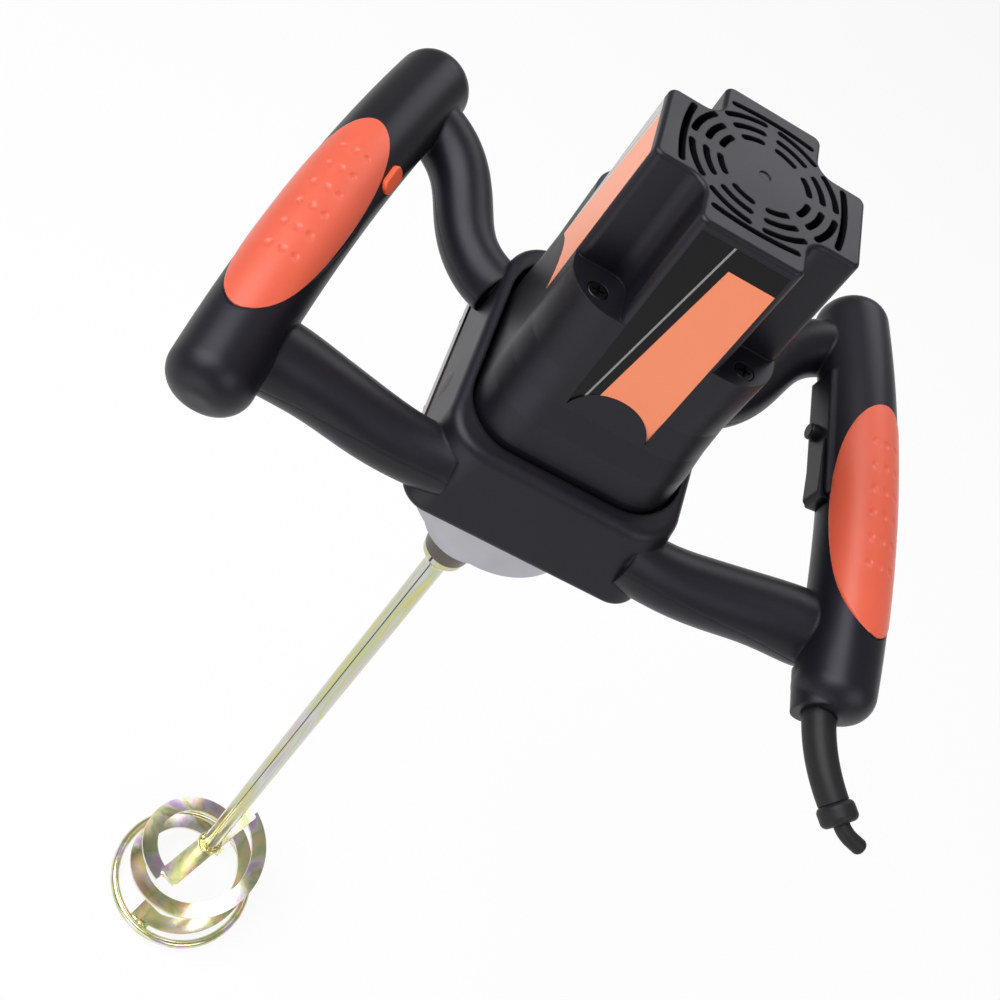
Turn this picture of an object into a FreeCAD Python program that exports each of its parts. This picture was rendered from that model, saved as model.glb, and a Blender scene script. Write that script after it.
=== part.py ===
import FreeCAD, Part
import math
import os
from FreeCAD import Placement, Rotation, Vector

# Two-handed mixing drill with a helical paddle, in millimetres.
# +Z runs up the motor axis, the paddle hangs towards -Z, the label side is -Y
# and the handle with the trigger and the cord is on +X.
# The origin is the centre of the flat vented end of the motor cover.

# Motor cover
cover_length = 152.0
cover_wall = 3.0
cover_edge = 2.0
cover_top_half = 45.6
cover_mid_half = 47.8
cover_low_half = 50.0
cover_low_front = 54.5
cover_low_back = 50.0
cover_top_corner = 14.0
cover_low_corner = 24.0
flare_start = 93.0
flare_length = 45.0
lobe_half = 22.7
lobe_edge = 4.0
channel_corner = 8.0
channel_length = 58.0
rib_half = 3.0

# Vent slots in the end of the motor cover
vent_first_radius = 20.2
vent_ring_step = 6.2
vent_slot_width = 3.0
vent_rings = 3
vent_spokes = 8
vent_spoke_width = 4.6
vent_lobe_distance = 36.4
vent_lobe_half = 18.0
vent_lobe_bow = 1.7
hub_mark_radius = 2.6
hub_mark_depth = 0.5

# Screws and labels on the motor cover
cover_screw_x = 34.0
cover_screw_y = 36.4
cover_screw_radius = 2.5
screw_head_radius = 4.6
screw_head_height = 3.2
screw_clearance = 0.1
screw_column_radius = 6.2
screw_head_round = 0.9
driver_slot = 1.1
driver_reach = 2.8
driver_depth = 1.6
label_half_width = 19.0
label_top_margin = 4.0
label_corner_drop = 107.0
label_arch = 14.0
label_thickness = 0.5
side_label_length = 84.0
side_label_arch = 6.0

# Clearances used throughout
running_gap = 0.04
seat_gap = 0.25
winding_gap = 0.3

# Motor inside the cover
core_radius = 22.0
core_air_gap = 0.8
core_top = 69.0
core_length = 48.0
core_slots = 12
slot_width = 2.4
slot_depth = 3.0
field_radius = 41.0
field_ring = 7.0
pole_half_width = 14.0
pole_shoe = 3.7
shoe_half_width = 21.0
coil_overhang = 5.5
winding_head = 12.0
winding_round = 4.0
commutator_radius = 16.0
commutator_top = 26.0
commutator_length = 18.0
segment_gap = 0.8
brush_width = 8.0
brush_height = 11.0
brush_length = 14.0
brush_gap = 0.1
brush_slip = 0.05
brush_spring_radius = 3.4
brush_wire = 0.9
holder_wall = 1.6
holder_clearance = 1.2
fan_radius = 40.0
fan_blades = 12
fan_height = 13.0
fan_lift = 8.0
fan_hub = 11.0
fan_plate = 1.6
baffle_gap = 2.0
baffle_radius = 46.2
baffle_mouth = 30.0
baffle_thickness = 2.0
top_journal_radius = 4.0
shaft_radius = 6.0
low_journal_radius = 5.0
journal_run = 1.5
pinion_neck = 4.6
top_bearing_radius = 11.0
top_bearing_width = 7.0
top_bearing_drop = 7.0
top_bearing_boss = 13.6
low_bearing_radius = 13.0
low_bearing_width = 8.0
low_bearing_rise = 6.0
shield_depth = 0.5
seat_wall = 3.0

# Gearbox: bearing plate, case and gear train
plate_thickness = 14.0
plate_half = 53.0
plate_front = 54.5
plate_back = 56.0
plate_corner = 20.0
flange_half = 61.0
flange_front = 63.0
flange_back = 68.0
flange_corner = 26.0
flange_thickness = 9.0
case_block_depth = 30.0
case_pot_radius = 54.0
pot_corner_radius = 48.5
pot_centre_y = 10.0
pot_start = 20.0
pot_depth = 76.0
cone_steps = 6
cone_hollow = 1.6
cone_straighten = 1.25
case_nose_radius = 25.0
case_nose_drop = 119.0
case_screw_radius = 2.5
case_screw_side = 44.5
case_screw_front_x = 30.0
case_screw_front_y = -47.0
case_screw_grip = 14.0
spindle_offset = 20.0
pressure_angle = 25.0
tooth_addendum = 0.8
tooth_dedendum = 1.05
tooth_thinning = 0.14
first_module = 1.0
first_pinion_teeth = 9
first_gear_teeth = 46
second_module = 1.4
second_pinion_teeth = 10
second_gear_teeth = 48
first_gear_drop = 10.0
first_gear_width = 10.0
second_gear_drop = 34.0
second_gear_width = 18.0
gear_room = 1.4
gear_rim = 5.0
gear_hub = 17.0
web_depth = 4.0

# Spindle, intermediate shaft and their bearings
spindle_radius = 10.0
spindle_top_radius = 6.0
spindle_nose_top = 16.0
spindle_nose_radius = 13.6
spindle_nose_length = 24.0
nose_gap = 0.4
spindle_room = 0.6
spindle_bush_radius = 9.0
spindle_bush_length = 12.0
spindle_bearing_radius = 21.0
spindle_bearing_width = 12.0
spindle_bearing_rise = 13.0
seal_radius = 12.8
seal_width = 6.0
idler_radius = 4.0
idler_seat_radius = 6.0
idler_bush_radius = 6.0
idler_bush_length = 10.0
idler_bearing_radius = 11.0
idler_bearing_width = 7.0
key_width = 5.0
key_height = 5.0
circlip_thickness = 1.2
circlip_inner = 9.0
circlip_proud = 2.5
circlip_gap = 3.0
circlip_lift = 3.0

# Handle frame: a tilted plane carries both grips, and is drawn flat as (x, v, w)
handle_tilt = 9.15
handle_rise = 17.9
grip_mid_x = 141.2
grip_mid_v = 17.0
grip_half_length = 116.5
grip_toe = 7.7
grip_radius = 19.0
grip_bow_radius = 800.0
grip_bow_lean = 37.0
grip_end_round = 14.0
handle_wall = 3.2
front_arm_v = -57.5
front_arm_radius = 16.5
back_arm_radius = 14.5
back_arm_grip_v = 104.0
back_arm_collar_v = 30.0
collar_half = 60.5
collar_front = 80.0
collar_back = 60.5
collar_taper = 4.0
collar_front_slope = 15.0
collar_corner = 14.0
collar_top_corner = 22.0
collar_rise = 2.6
collar_height = 40.0
collar_gap = 2.0
collar_top_round = 5.0
collar_low_round = 2.5
parting_drop = 14.0
handle_screw_radius = 1.6
handle_screw_head = 3.2
handle_head_height = 2.2
handle_head_depth = 2.2
handle_screw_bite = 14.0
handle_boss_radius = 4.2
boss_root = 1.0
cover_screw_back_y = 92.0
cover_screw_mid_y = -58.0
frame_screw_radius = 2.0
frame_screw_head = 3.6
frame_screw_head_height = 3.0
frame_screw_bite = 14.0
frame_screw_front_v = -20.0
frame_screw_back_v = 35.0

# Stations along the front arm: share of the way to the grip, forward, drop and swell
front_arm_shape = [(-0.18, 3.0, 20.0, 0.93), (0.1, 4.0, 21.5, 0.95), (0.42, 1.5, 18.5, 1.0),
                   (0.65, 0.0, 15.5, 1.05), (0.82, 0.0, 13.0, 1.08), (0.96, 0.0, 7.0, 0.8)]

# Stations along the back arm: share of the way to the grip across and along, drop and swell
back_arm_shape = [(-0.09, 0.05, 15.0, 0.95), (0.15, 0.2, 16.0, 0.96), (0.3, 0.41, 15.5, 0.98),
                  (0.45, 0.7, 13.0, 1.0), (0.7, 0.915, 9.5, 1.03), (0.95, 1.0, 6.0, 0.9)]

# Grip pads
pad_half_length = 62.0
pad_half_width = 18.2
pad_lean = 12.0
pad_depth = 1.5
pad_proud = 0.45
pad_centre_y = -19.5

# Controls, placed along the grip from its middle
trigger_back_y = 21.5
trigger_length = 33.0
trigger_width = 12.0
trigger_heel = 3.0
trigger_proud = 4.0
trigger_lip = 5.0
trigger_lip_round = 3.0
trigger_inner = 12.0
trigger_low = 3.0
trigger_pin_radius = 1.5
trigger_pin_x = 14.5
trigger_pin_back = 4.0
trigger_slot_room = 0.6
trigger_swing_room = 2.4
panel_proud = 2.0
panel_back_y = 63.0
panel_front_y = -9.5
panel_high = 6.0
panel_low = -13.0
panel_round = 1.6
ear_thickness = 1.7
ear_gap = 0.25
ear_half = 3.0
switch_inner = 7.5
switch_outer = 7.0
switch_top = 8.0
switch_low = -13.0
switch_front_y = -18.0
switch_behind = 1.5
rib_half_width = 6.0
rib_thickness = 2.0
rib_inset = 7.0
board_half = 8.0
board_length = 30.0
board_lift = 3.0
board_thickness = 1.6
board_part_height = 9.0
lock_knob_y = 29.5
lock_knob_low = 6.0
lock_knob_radius = 4.2
lock_knob_proud = 6.4
knob_inner = 9.0
knob_rim = 1.6
thumb_button_y = 24.8
thumb_button_turn = 33.0
thumb_button_length = 16.0
thumb_button_width = 7.6
thumb_button_proud = 2.0
thumb_button_round = 1.0
button_room = 0.12

# Cord with its bend sleeve
cord_radius = 3.7
cord_room = 0.5
cord_inside = 26.0
cord_root_x = 145.0
cord_root_v = -84.0
cord_root_w = -7.5
cord_lean = 9.0
cord_boss_wall = 4.8
cord_boss_back = 6.0
cord_boss_length = 20.0
sleeve_radius = 7.9
sleeve_end_radius = 7.0
sleeve_straight = 16.0
sleeve_bend_radius = 80.0
sleeve_bend = 27.0
sleeve_bulb_radius = 8.6
sleeve_bulb_length = 9.5
cord_bend_radius = 12.0
cord_bend = 36.0
cord_end_length = 6.5
cord_bore_length = 60.0
clamp_half = 6.0
clamp_back = 9.0
clamp_length = 8.0

# Paddle
paddle_ring_outer = 60.0
paddle_rod_radius = 3.5
paddle_length = 557.0
paddle_shaft_radius = 6.65
paddle_flare_radius = 12.8
paddle_flare_rim = 5.0
paddle_flare_length = 16.0
paddle_stud_radius = 6.9
paddle_stud_length = 20.0
bar_width = 17.0
bar_thickness = 5.0
bar_corner = 2.0
bar_end_gap = 6.0
bar_angle = 243.0
ribbon_outer = 51.0
ribbon_width = 12.0
ribbon_thickness = 3.0
ribbon_climb = 77.0
ribbon_turn = 349.0
ribbon_start = 248.0
ribbon_sink = 1.0
lug_width = 17.0
lug_start = 36.0
weld_gap = 0.1

# Levels and axes that follow from the sizes above
plate_top = -cover_length
case_top = plate_top - plate_thickness
handle_plane = plate_top + handle_rise
collar_low = collar_rise - collar_height
nose_end = case_top - case_nose_drop
spindle_end = nose_end - spindle_nose_length
first_centres = first_module * (first_pinion_teeth + first_gear_teeth) / 2.0
second_centres = second_module * (second_pinion_teeth + second_gear_teeth) / 2.0
idler_y = (first_centres ** 2 - second_centres ** 2 + spindle_offset ** 2) / (2.0 * spindle_offset)
idler_x = math.sqrt(first_centres ** 2 - idler_y ** 2)
idler_angle = math.degrees(math.atan2(idler_y, idler_x))
second_pinion_angle = math.degrees(math.atan2(spindle_offset - idler_y, -idler_x))
output_tooth_angle = second_pinion_angle + 180.0 + 180.0 / second_gear_teeth
first_gear_top = case_top - first_gear_drop
first_gear_low = first_gear_top - first_gear_width
second_gear_top = case_top - second_gear_drop
second_gear_low = second_gear_top - second_gear_width
case_floor = second_gear_low - 4.0 * gear_room
idler_bearing_low = case_floor - idler_bearing_width
spindle_bush_high = case_top + spindle_bush_length
spindle_bearing_low = nose_end + spindle_bearing_rise
top_bearing_high = -top_bearing_drop
top_bearing_low = top_bearing_high - top_bearing_width
low_bearing_high = plate_top + low_bearing_rise
low_bearing_low = low_bearing_high - low_bearing_width
core_low = -core_top - core_length
fan_low = plate_top + fan_lift
fan_top = fan_low + fan_height
ring_z = spindle_end - paddle_length
ribbon_low = ring_z + ribbon_thickness / 2 - ribbon_sink
bar_low = ribbon_low + ribbon_climb + ribbon_thickness


def box(x0, x1, y0, y1, z0, z1):
    """A block between two opposite corners."""
    return Part.makeBox(x1 - x0, y1 - y0, z1 - z0, Vector(x0, y0, z0))


def cylinder(radius, z0, z1, x=0.0, y=0.0):
    """An upright round bar from level z0 to level z1."""
    return Part.makeCylinder(radius, z1 - z0, Vector(x, y, z0))


def ring(outer, inner, z0, z1, x=0.0, y=0.0):
    """An upright round bar with a bore."""
    return cylinder(outer, z0, z1, x, y).cut(cylinder(inner, z0 - 1, z1 + 1, x, y))


def joined(shapes):
    """All the shapes as one solid."""
    return shapes[0].multiFuse(shapes[1:]).removeSplitter()


def merged(shapes):
    """All the shapes as one solid, with the seams between their faces kept."""
    return shapes[0].multiFuse(shapes[1:])


def mirrored(shape):
    """The same shape on the other side of the tool."""
    return shape.mirror(Vector(0, 0, 0), Vector(1, 0, 0))


def rounded_rectangle(x_half, front, back, radius, z):
    """A closed wire at level z, from y = -front to y = back, with round corners."""
    corners = [(x_half, -front, 1, -1), (x_half, back, 1, 1), (-x_half, back, -1, 1),
               (-x_half, -front, -1, -1)]
    edges = []
    last_end = None
    first_start = None
    diagonal = radius * (1 - math.sqrt(0.5))
    for index, (x, y, sx, sy) in enumerate(corners):
        on_side = Vector(x, y - sy * radius, z)
        on_end = Vector(x - sx * radius, y, z)
        middle = Vector(x - sx * diagonal, y - sy * diagonal, z)
        start, end = (on_end, on_side) if index % 2 == 0 else (on_side, on_end)
        if last_end is None:
            first_start = start
        else:
            edges.append(Part.LineSegment(last_end, start).toShape())
        edges.append(Part.Arc(start, middle, end).toShape())
        last_end = end
    edges.append(Part.LineSegment(last_end, first_start).toShape())
    return Part.Wire(edges)


def prism(wire, height):
    """A flat wire pushed upwards by height."""
    return Part.Face(wire).extrude(Vector(0, 0, height))


def smooth_step(value):
    """0 below 0, 1 above 1, and a soft S between."""
    value = min(1.0, max(0.0, value))
    return value * value * (3.0 - 2.0 * value)


def cover_half(z):
    """Half the width of the motor cover above its flare, at level z."""
    return cover_top_half + (cover_mid_half - cover_top_half) * min(1.0, -z / flare_start)


def cover_section(z, inset):
    """The outline of the motor cover at level z, drawn in by inset."""
    flare = smooth_step((-z - flare_start) / flare_length)
    mid = cover_half(z)
    corner = cover_top_corner + (cover_low_corner - cover_top_corner) * smooth_step(-z / flare_start)
    side = mid + (cover_low_half - cover_mid_half) * flare - inset
    front = mid + (cover_low_front - cover_mid_half) * flare - inset
    back = mid + (cover_low_back - cover_mid_half) * flare - inset
    return rounded_rectangle(side, front, back, corner - inset * 0.6, z)


def cover_levels(z_top):
    """Levels down the motor cover, closer together in the flare."""
    steps = [0.0, 0.35, 0.65, 1.0]
    return [z_top] + [-flare_start - flare_length * step for step in steps] + [-cover_length]


def lobed_section(z, inset):
    """The outline of the motor cover between its four corner channels, drawn in by inset."""
    half = cover_half(z) - inset
    near = lobe_half - inset
    bend = channel_corner + inset
    lip = lobe_edge - inset
    lip_middle = lip * math.sqrt(0.5)
    bend_middle = near + bend * (1 - math.sqrt(0.5))
    edges = []
    for quarter in range(4):
        turn = Rotation(Vector(0, 0, 1), 90.0 * quarter)

        def at(x, y):
            return turn.multVec(Vector(x, y, z))

        edges += [
            Part.Arc(at(half, near - lip), at(half - lip + lip_middle, near - lip + lip_middle),
                     at(half - lip, near)),
            Part.LineSegment(at(half - lip, near), at(near + bend, near)),
            Part.Arc(at(near + bend, near), at(bend_middle, bend_middle), at(near, near + bend)),
            Part.LineSegment(at(near, near + bend), at(near, half - lip)),
            Part.Arc(at(near, half - lip), at(near - lip + lip_middle, half - lip + lip_middle),
                     at(near - lip, half)),
            Part.LineSegment(at(near - lip, half), at(lip - near, half)),
        ]
    return Part.Wire([edge.toShape() for edge in edges])


def arc_slot(radius, width, angle_from, angle_to, z0, z1):
    """A round-ended slot that follows a circle round the Z axis, angles in degrees."""
    inner = radius - width / 2.0
    outer = radius + width / 2.0

    def at(r, angle):
        turn = math.radians(angle)
        return Vector(r * math.cos(turn), r * math.sin(turn), z0)

    middle = (angle_from + angle_to) / 2.0
    end = math.degrees(width / 2.0 / radius)
    wire = Part.Wire([
        Part.Arc(at(outer, angle_from), at(outer, middle), at(outer, angle_to)).toShape(),
        Part.Arc(at(outer, angle_to), at(radius, angle_to + end), at(inner, angle_to)).toShape(),
        Part.Arc(at(inner, angle_to), at(inner, middle), at(inner, angle_from)).toShape(),
        Part.Arc(at(inner, angle_from), at(radius, angle_from - end), at(outer, angle_from)).toShape(),
    ])
    return prism(wire, z1 - z0)


def vent_slots():
    """Rings of slots between spokes, and one long flatter slot on each lobe."""
    slots = []
    low = -cover_wall - 1
    spoke_pitch = 360.0 / vent_spokes
    for number in range(vent_rings):
        radius = vent_first_radius + number * vent_ring_step
        blocked = math.degrees((vent_spoke_width + vent_slot_width) / radius) / 2.0
        for spoke in range(vent_spokes):
            start = spoke * spoke_pitch + blocked
            end = (spoke + 1) * spoke_pitch - blocked
            slots.append(arc_slot(radius, vent_slot_width, start, end, low, 1.0))
    lobe_radius = (vent_lobe_half ** 2 + vent_lobe_bow ** 2) / (2.0 * vent_lobe_bow)
    spread = math.degrees(math.asin(vent_lobe_half / lobe_radius))
    for lobe in range(4):
        slot = arc_slot(lobe_radius, vent_slot_width, -spread, spread, low, 1.0)
        slot.translate(Vector(vent_lobe_distance - lobe_radius, 0, 0))
        slot.rotate(Vector(0, 0, 0), Vector(0, 0, 1), 90.0 * lobe)
        slots.append(slot)
    return slots


def screw_places():
    """Centres of the four screws in the corner channels."""
    return [(sx * cover_screw_x, sy * cover_screw_y) for sx in (-1, 1) for sy in (-1, 1)]


def label_outline(half_width, top, corner_drop, rise):
    """A label panel with straight sides and a bottom edge that arches up, in the XZ plane."""
    left_top = Vector(-half_width, 0, -top)
    right_top = Vector(half_width, 0, -top)
    right_low = Vector(half_width, 0, -corner_drop)
    left_low = Vector(-half_width, 0, -corner_drop)
    middle = Vector(0, 0, -corner_drop + rise)
    return Part.Wire([
        Part.LineSegment(left_top, right_top).toShape(),
        Part.LineSegment(right_top, right_low).toShape(),
        Part.Arc(right_low, middle, left_low).toShape(),
        Part.LineSegment(left_low, left_top).toShape(),
    ])


def on_front_face(shape, turn):
    """Lays a shape from the XZ plane on the drafted face, turned about Z by turn degrees."""
    draft = math.degrees(math.atan((cover_mid_half - cover_top_half) / flare_start))
    shape.rotate(Vector(0, 0, 0), Vector(1, 0, 0), -draft)
    shape.translate(Vector(0, -cover_top_half, 0))
    shape.rotate(Vector(0, 0, 0), Vector(0, 0, 1), turn)
    return shape


def label_solid(outward, inward, corner_drop, rise, turn):
    """The label panel between two depths of the cover's face."""
    wire = label_outline(label_half_width, label_top_margin, corner_drop, rise)
    wire.translate(Vector(0, inward, 0))
    return on_front_face(Part.Face(wire).extrude(Vector(0, -outward - inward, 0)), turn)


def motor_cover():
    """Moulded cover with four lobes, corner channels, vents and ribs that hold the field."""
    upper = Part.makeLoft([lobed_section(0.0, 0.0), lobed_section(-channel_length, 0.0)], True, True)
    upper = upper.makeFillet(cover_edge, [edge for edge in upper.Edges if edge.BoundBox.ZMin > -0.01])
    lower = Part.makeLoft([cover_section(z, 0.0) for z in cover_levels(-channel_length)], True, True)
    body = upper.fuse(lower)
    floor = -channel_length - cover_wall
    room_top = Part.makeLoft([lobed_section(-cover_wall, cover_wall), lobed_section(floor, cover_wall)],
                             True, True)
    room = Part.makeLoft([cover_section(z, cover_wall) for z in cover_levels(floor)], True, True)
    room = room.fuse(room_top)
    for x, y in screw_places():
        room = room.cut(cylinder(screw_column_radius, plate_top, floor, x, y))
    for angle in (0, 90, 180, 270):
        rib = box(0, cover_low_front, -rib_half, rib_half, core_low, -core_top)
        rib.rotate(Vector(0, 0, 0), Vector(0, 0, 1), angle)
        room = room.cut(rib.cut(cylinder(field_radius, core_low - 1, 1)))
    room = room.cut(cylinder(top_bearing_boss, top_bearing_low, -cover_wall + 1))
    body = body.cut(room)
    body = body.cut(cylinder(top_bearing_radius, top_bearing_low - 1, top_bearing_high))
    body = body.cut(cylinder(top_journal_radius + journal_run, top_bearing_low, -cover_wall))
    body = body.cut(cylinder(hub_mark_radius, -hub_mark_depth, 1.0))
    for slot in vent_slots():
        body = body.cut(slot)
    head_seat = -channel_length - screw_head_height
    head_hole = screw_head_radius + screw_clearance
    shank_hole = cover_screw_radius + screw_clearance
    for x, y in screw_places():
        body = body.cut(cylinder(head_hole, head_seat, -channel_length + 1, x, y))
        body = body.cut(cylinder(shank_hole, plate_top - 1, head_seat + 1, x, y))
    body = body.cut(label_solid(cover_low_front, label_thickness, label_corner_drop, label_arch, 0))
    return body.cut(label_solid(cover_low_front, label_thickness, side_label_length, side_label_arch,
                                -90))


def motor_cover_screws():
    """Four long cross-head screws that clamp the cover to the bearing plate."""
    screws = []
    top = -channel_length
    seat = top - screw_head_height
    half = driver_slot / 2
    for x, y in screw_places():
        head = cylinder(screw_head_radius, seat, top, x, y)
        head = head.makeFillet(screw_head_round,
                               [edge for edge in head.Edges if edge.BoundBox.ZMin > top - 0.01])
        bottom = top - driver_depth
        cross = box(x - driver_reach, x + driver_reach, y - half, y + half, bottom, top + 1)
        cross = cross.fuse(box(x - half, x + half, y - driver_reach, y + driver_reach, bottom, top + 1))
        shank = cylinder(cover_screw_radius, case_top + 2, seat, x, y)
        screws.append(head.cut(cross).fuse(shank))
    return Part.makeCompound(screws)


def bearing(radius, bore, z0, z1, x=0.0, y=0.0):
    """A ball bearing as one ring, with a shallow groove for the shields on both faces."""
    body = ring(radius, bore, z0, z1, x, y)
    outer = radius - (radius - bore) * 0.28
    inner = bore + (radius - bore) * 0.28
    for level in (z0, z1 - shield_depth):
        body = body.cut(ring(outer, inner, level, level + shield_depth, x, y))
    return body


def gear(teeth, module, width, z0, x, y, tooth_angle):
    """A spur gear with involute flanks; one tooth points along tooth_angle, in degrees."""
    pitch = module * teeth / 2.0
    base = pitch * math.cos(math.radians(pressure_angle))
    tip = pitch + tooth_addendum * module
    root = pitch - tooth_dedendum * module
    start = max(base, root) * 1.0005
    involute = math.tan(math.radians(pressure_angle)) - math.radians(pressure_angle)
    half_tooth = math.pi / 2.0 / teeth - tooth_thinning / 2.0 / pitch

    def half_angle(radius):
        roll = math.acos(min(1.0, base / radius))
        return half_tooth + involute - (math.tan(roll) - roll)

    def at(radius, angle):
        return Vector(x + radius * math.cos(angle), y + radius * math.sin(angle), z0)

    edges = []
    middle = (start + tip) / 2.0
    for number in range(teeth):
        axis = math.radians(tooth_angle) + 2.0 * math.pi * number / teeth
        next_axis = axis + 2.0 * math.pi / teeth
        foot = half_angle(start)
        flank = half_angle(middle)
        crest = half_angle(tip)
        edges.append(Part.LineSegment(at(root, axis - foot), at(start, axis - foot)))
        edges.append(Part.Arc(at(start, axis - foot), at(middle, axis - flank), at(tip, axis - crest)))
        edges.append(Part.Arc(at(tip, axis - crest), at(tip, axis), at(tip, axis + crest)))
        edges.append(Part.Arc(at(tip, axis + crest), at(middle, axis + flank), at(start, axis + foot)))
        edges.append(Part.LineSegment(at(start, axis + foot), at(root, axis + foot)))
        valley = (axis + next_axis) / 2.0
        edges.append(Part.Arc(at(root, axis + foot), at(root, valley), at(root, next_axis - foot)))
    return prism(Part.Wire([edge.toShape() for edge in edges]), width)


def tip_radius(teeth, module):
    """Outside radius of a gear."""
    return module * (teeth / 2.0 + tooth_addendum)


def field_core():
    """Laminated field: a round yoke with two poles that face the armature."""
    low = core_low
    high = -core_top
    face = core_radius + core_air_gap
    yoke = ring(field_radius, field_radius - field_ring, low, high)
    poles = box(-pole_half_width, pole_half_width, -field_radius + 1, field_radius - 1, low, high)
    shoes = cylinder(face + pole_shoe, low, high).common(
        box(-shoe_half_width, shoe_half_width, -field_radius, field_radius, low, high))
    return joined([yoke, poles, shoes]).cut(cylinder(face, low - 1, high + 1))


def field_coils():
    """Two wound coils, each round the neck of one pole."""
    inner = core_radius + core_air_gap + pole_shoe + winding_gap
    outer = field_radius - field_ring - winding_gap
    neck = pole_half_width + winding_gap
    low = core_low - coil_overhang
    high = -core_top + coil_overhang
    coils = []
    for side in (-1, 1):
        block = box(-shoe_half_width, shoe_half_width, 0, outer, low, high)
        block = block.common(cylinder(outer, low, high)).cut(cylinder(inner, low - 1, high + 1))
        block = block.cut(box(-neck, neck, 0, outer + 1, core_low - winding_gap,
                              -core_top + winding_gap))
        if side < 0:
            block = block.mirror(Vector(0, 0, 0), Vector(0, 1, 0))
        coils.append(block)
    return Part.makeCompound(coils)


def brush_place(side, solid):
    """Puts a brush piece on the left or the right of the commutator."""
    return mirrored(solid) if side < 0 else solid


def brush_solids():
    """Holders, brushes and springs on both sides of the commutator."""
    middle = -commutator_top - commutator_length / 2.0
    draft = (cover_mid_half - cover_top_half) * -middle / flare_start
    holder_start = commutator_radius + holder_clearance
    holder_end = cover_top_half + draft - cover_wall - seat_gap
    brush_start = commutator_radius + brush_gap
    brush_end = brush_start + brush_length
    half_y = brush_width / 2.0
    half_z = brush_height / 2.0
    outside = box(holder_start, holder_end, -half_y - holder_wall, half_y + holder_wall,
                  middle - half_z - holder_wall, middle + half_z + holder_wall)
    tunnel = box(holder_start - 1, holder_end - holder_wall, -half_y - brush_slip, half_y + brush_slip,
                 middle - half_z - brush_slip, middle + half_z + brush_slip)
    brush = box(brush_start, brush_end, -half_y, half_y, middle - half_z, middle + half_z)
    spring_length = holder_end - holder_wall - brush_end
    spring = Part.makeCylinder(brush_spring_radius, spring_length, Vector(brush_end, 0, middle),
                               Vector(1, 0, 0))
    spring = spring.cut(Part.makeCylinder(brush_spring_radius - brush_wire, spring_length,
                                          Vector(brush_end, 0, middle), Vector(1, 0, 0)))
    solids = {"brush_holders": outside.cut(tunnel), "carbon_brushes": brush, "brush_springs": spring}
    return {name: Part.makeCompound([brush_place(side, solid) for side in (-1, 1)]) for name,
            solid in solids.items()}


def armature_shaft():
    """Motor shaft, stepped for its bearings, with the first pinion cut on its lower end."""
    steps = [
        cylinder(top_journal_radius, top_bearing_low - journal_run, top_bearing_high + journal_run),
        cylinder(shaft_radius, low_bearing_high, top_bearing_low - journal_run),
        cylinder(low_journal_radius, low_bearing_low - journal_run, low_bearing_high),
        cylinder(pinion_neck, first_gear_top + journal_run, low_bearing_low - journal_run),
        gear(first_pinion_teeth, first_module, first_gear_width + 2 * journal_run,
             first_gear_low - journal_run, 0, 0, idler_angle),
    ]
    return joined(steps)


def armature_core():
    """Slotted stack of laminations."""
    core = ring(core_radius, shaft_radius, core_low, -core_top)
    for number in range(core_slots):
        slot = box(core_radius - slot_depth, core_radius + 1, -slot_width / 2, slot_width / 2,
                   core_low - 1, 0)
        slot.rotate(Vector(0, 0, 0), Vector(0, 0, 1), 360.0 * number / core_slots)
        core = core.cut(slot)
    return core


def armature_windings():
    """Heads of the winding that stand out of both ends of the core."""
    top = Part.makeCone(core_radius - slot_depth, commutator_radius - 1, winding_head,
                        Vector(0, 0, -core_top))
    low = cylinder(core_radius - slot_depth, core_low - winding_head, core_low)
    low = low.makeFillet(winding_round,
                         [edge for edge in low.Edges if edge.BoundBox.ZMax < low.BoundBox.ZMin + 0.01])
    bore = cylinder(shaft_radius, core_low - winding_head - 1, 0)
    return Part.makeCompound([top.cut(bore), low.cut(bore)])


def commutator():
    """Copper segments round an insulating bush."""
    high = -commutator_top
    low = high - commutator_length
    body = ring(commutator_radius, shaft_radius, low, high)
    for number in range(core_slots):
        gap = box(commutator_radius - segment_gap, commutator_radius + 1, -segment_gap / 2,
                  segment_gap / 2, low - 1, high + 1)
        gap.rotate(Vector(0, 0, 0), Vector(0, 0, 1), 360.0 * (number + 0.5) / core_slots)
        body = body.cut(gap)
    return body


def cooling_fan():
    """Radial fan: a back plate, a hub and straight blades."""
    plate = cylinder(fan_radius, fan_low, fan_low + fan_plate)
    hub = cylinder(fan_hub, fan_low, fan_top)
    blades = []
    for number in range(fan_blades):
        blade = box(fan_hub - 1, fan_radius, -fan_plate / 2, fan_plate / 2, fan_low, fan_top)
        blade.rotate(Vector(0, 0, 0), Vector(0, 0, 1), 360.0 * number / fan_blades)
        blades.append(blade)
    rim = cylinder(fan_radius, fan_low, fan_top)
    body = joined([plate, hub] + blades).common(rim)
    return body.cut(cylinder(shaft_radius, fan_low - 1, fan_top + 1))


def fan_baffle():
    """Ring that leads the air from the field into the fan, held between the screw columns."""
    low = fan_top + baffle_gap
    body = ring(baffle_radius, baffle_mouth, low, low + baffle_thickness)
    for x, y in screw_places():
        body = body.cut(cylinder(screw_column_radius + seat_gap, low - 1, low + baffle_thickness + 1, x,
                                 y))
    return body


def gearbox_screw_places():
    """Centres of the four screws that hold the bearing plate on the gear case."""
    return [(sx * x, y) for sx in (-1, 1) for x,
            y in ((case_screw_side, spindle_offset), (case_screw_front_x, case_screw_front_y))]


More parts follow.
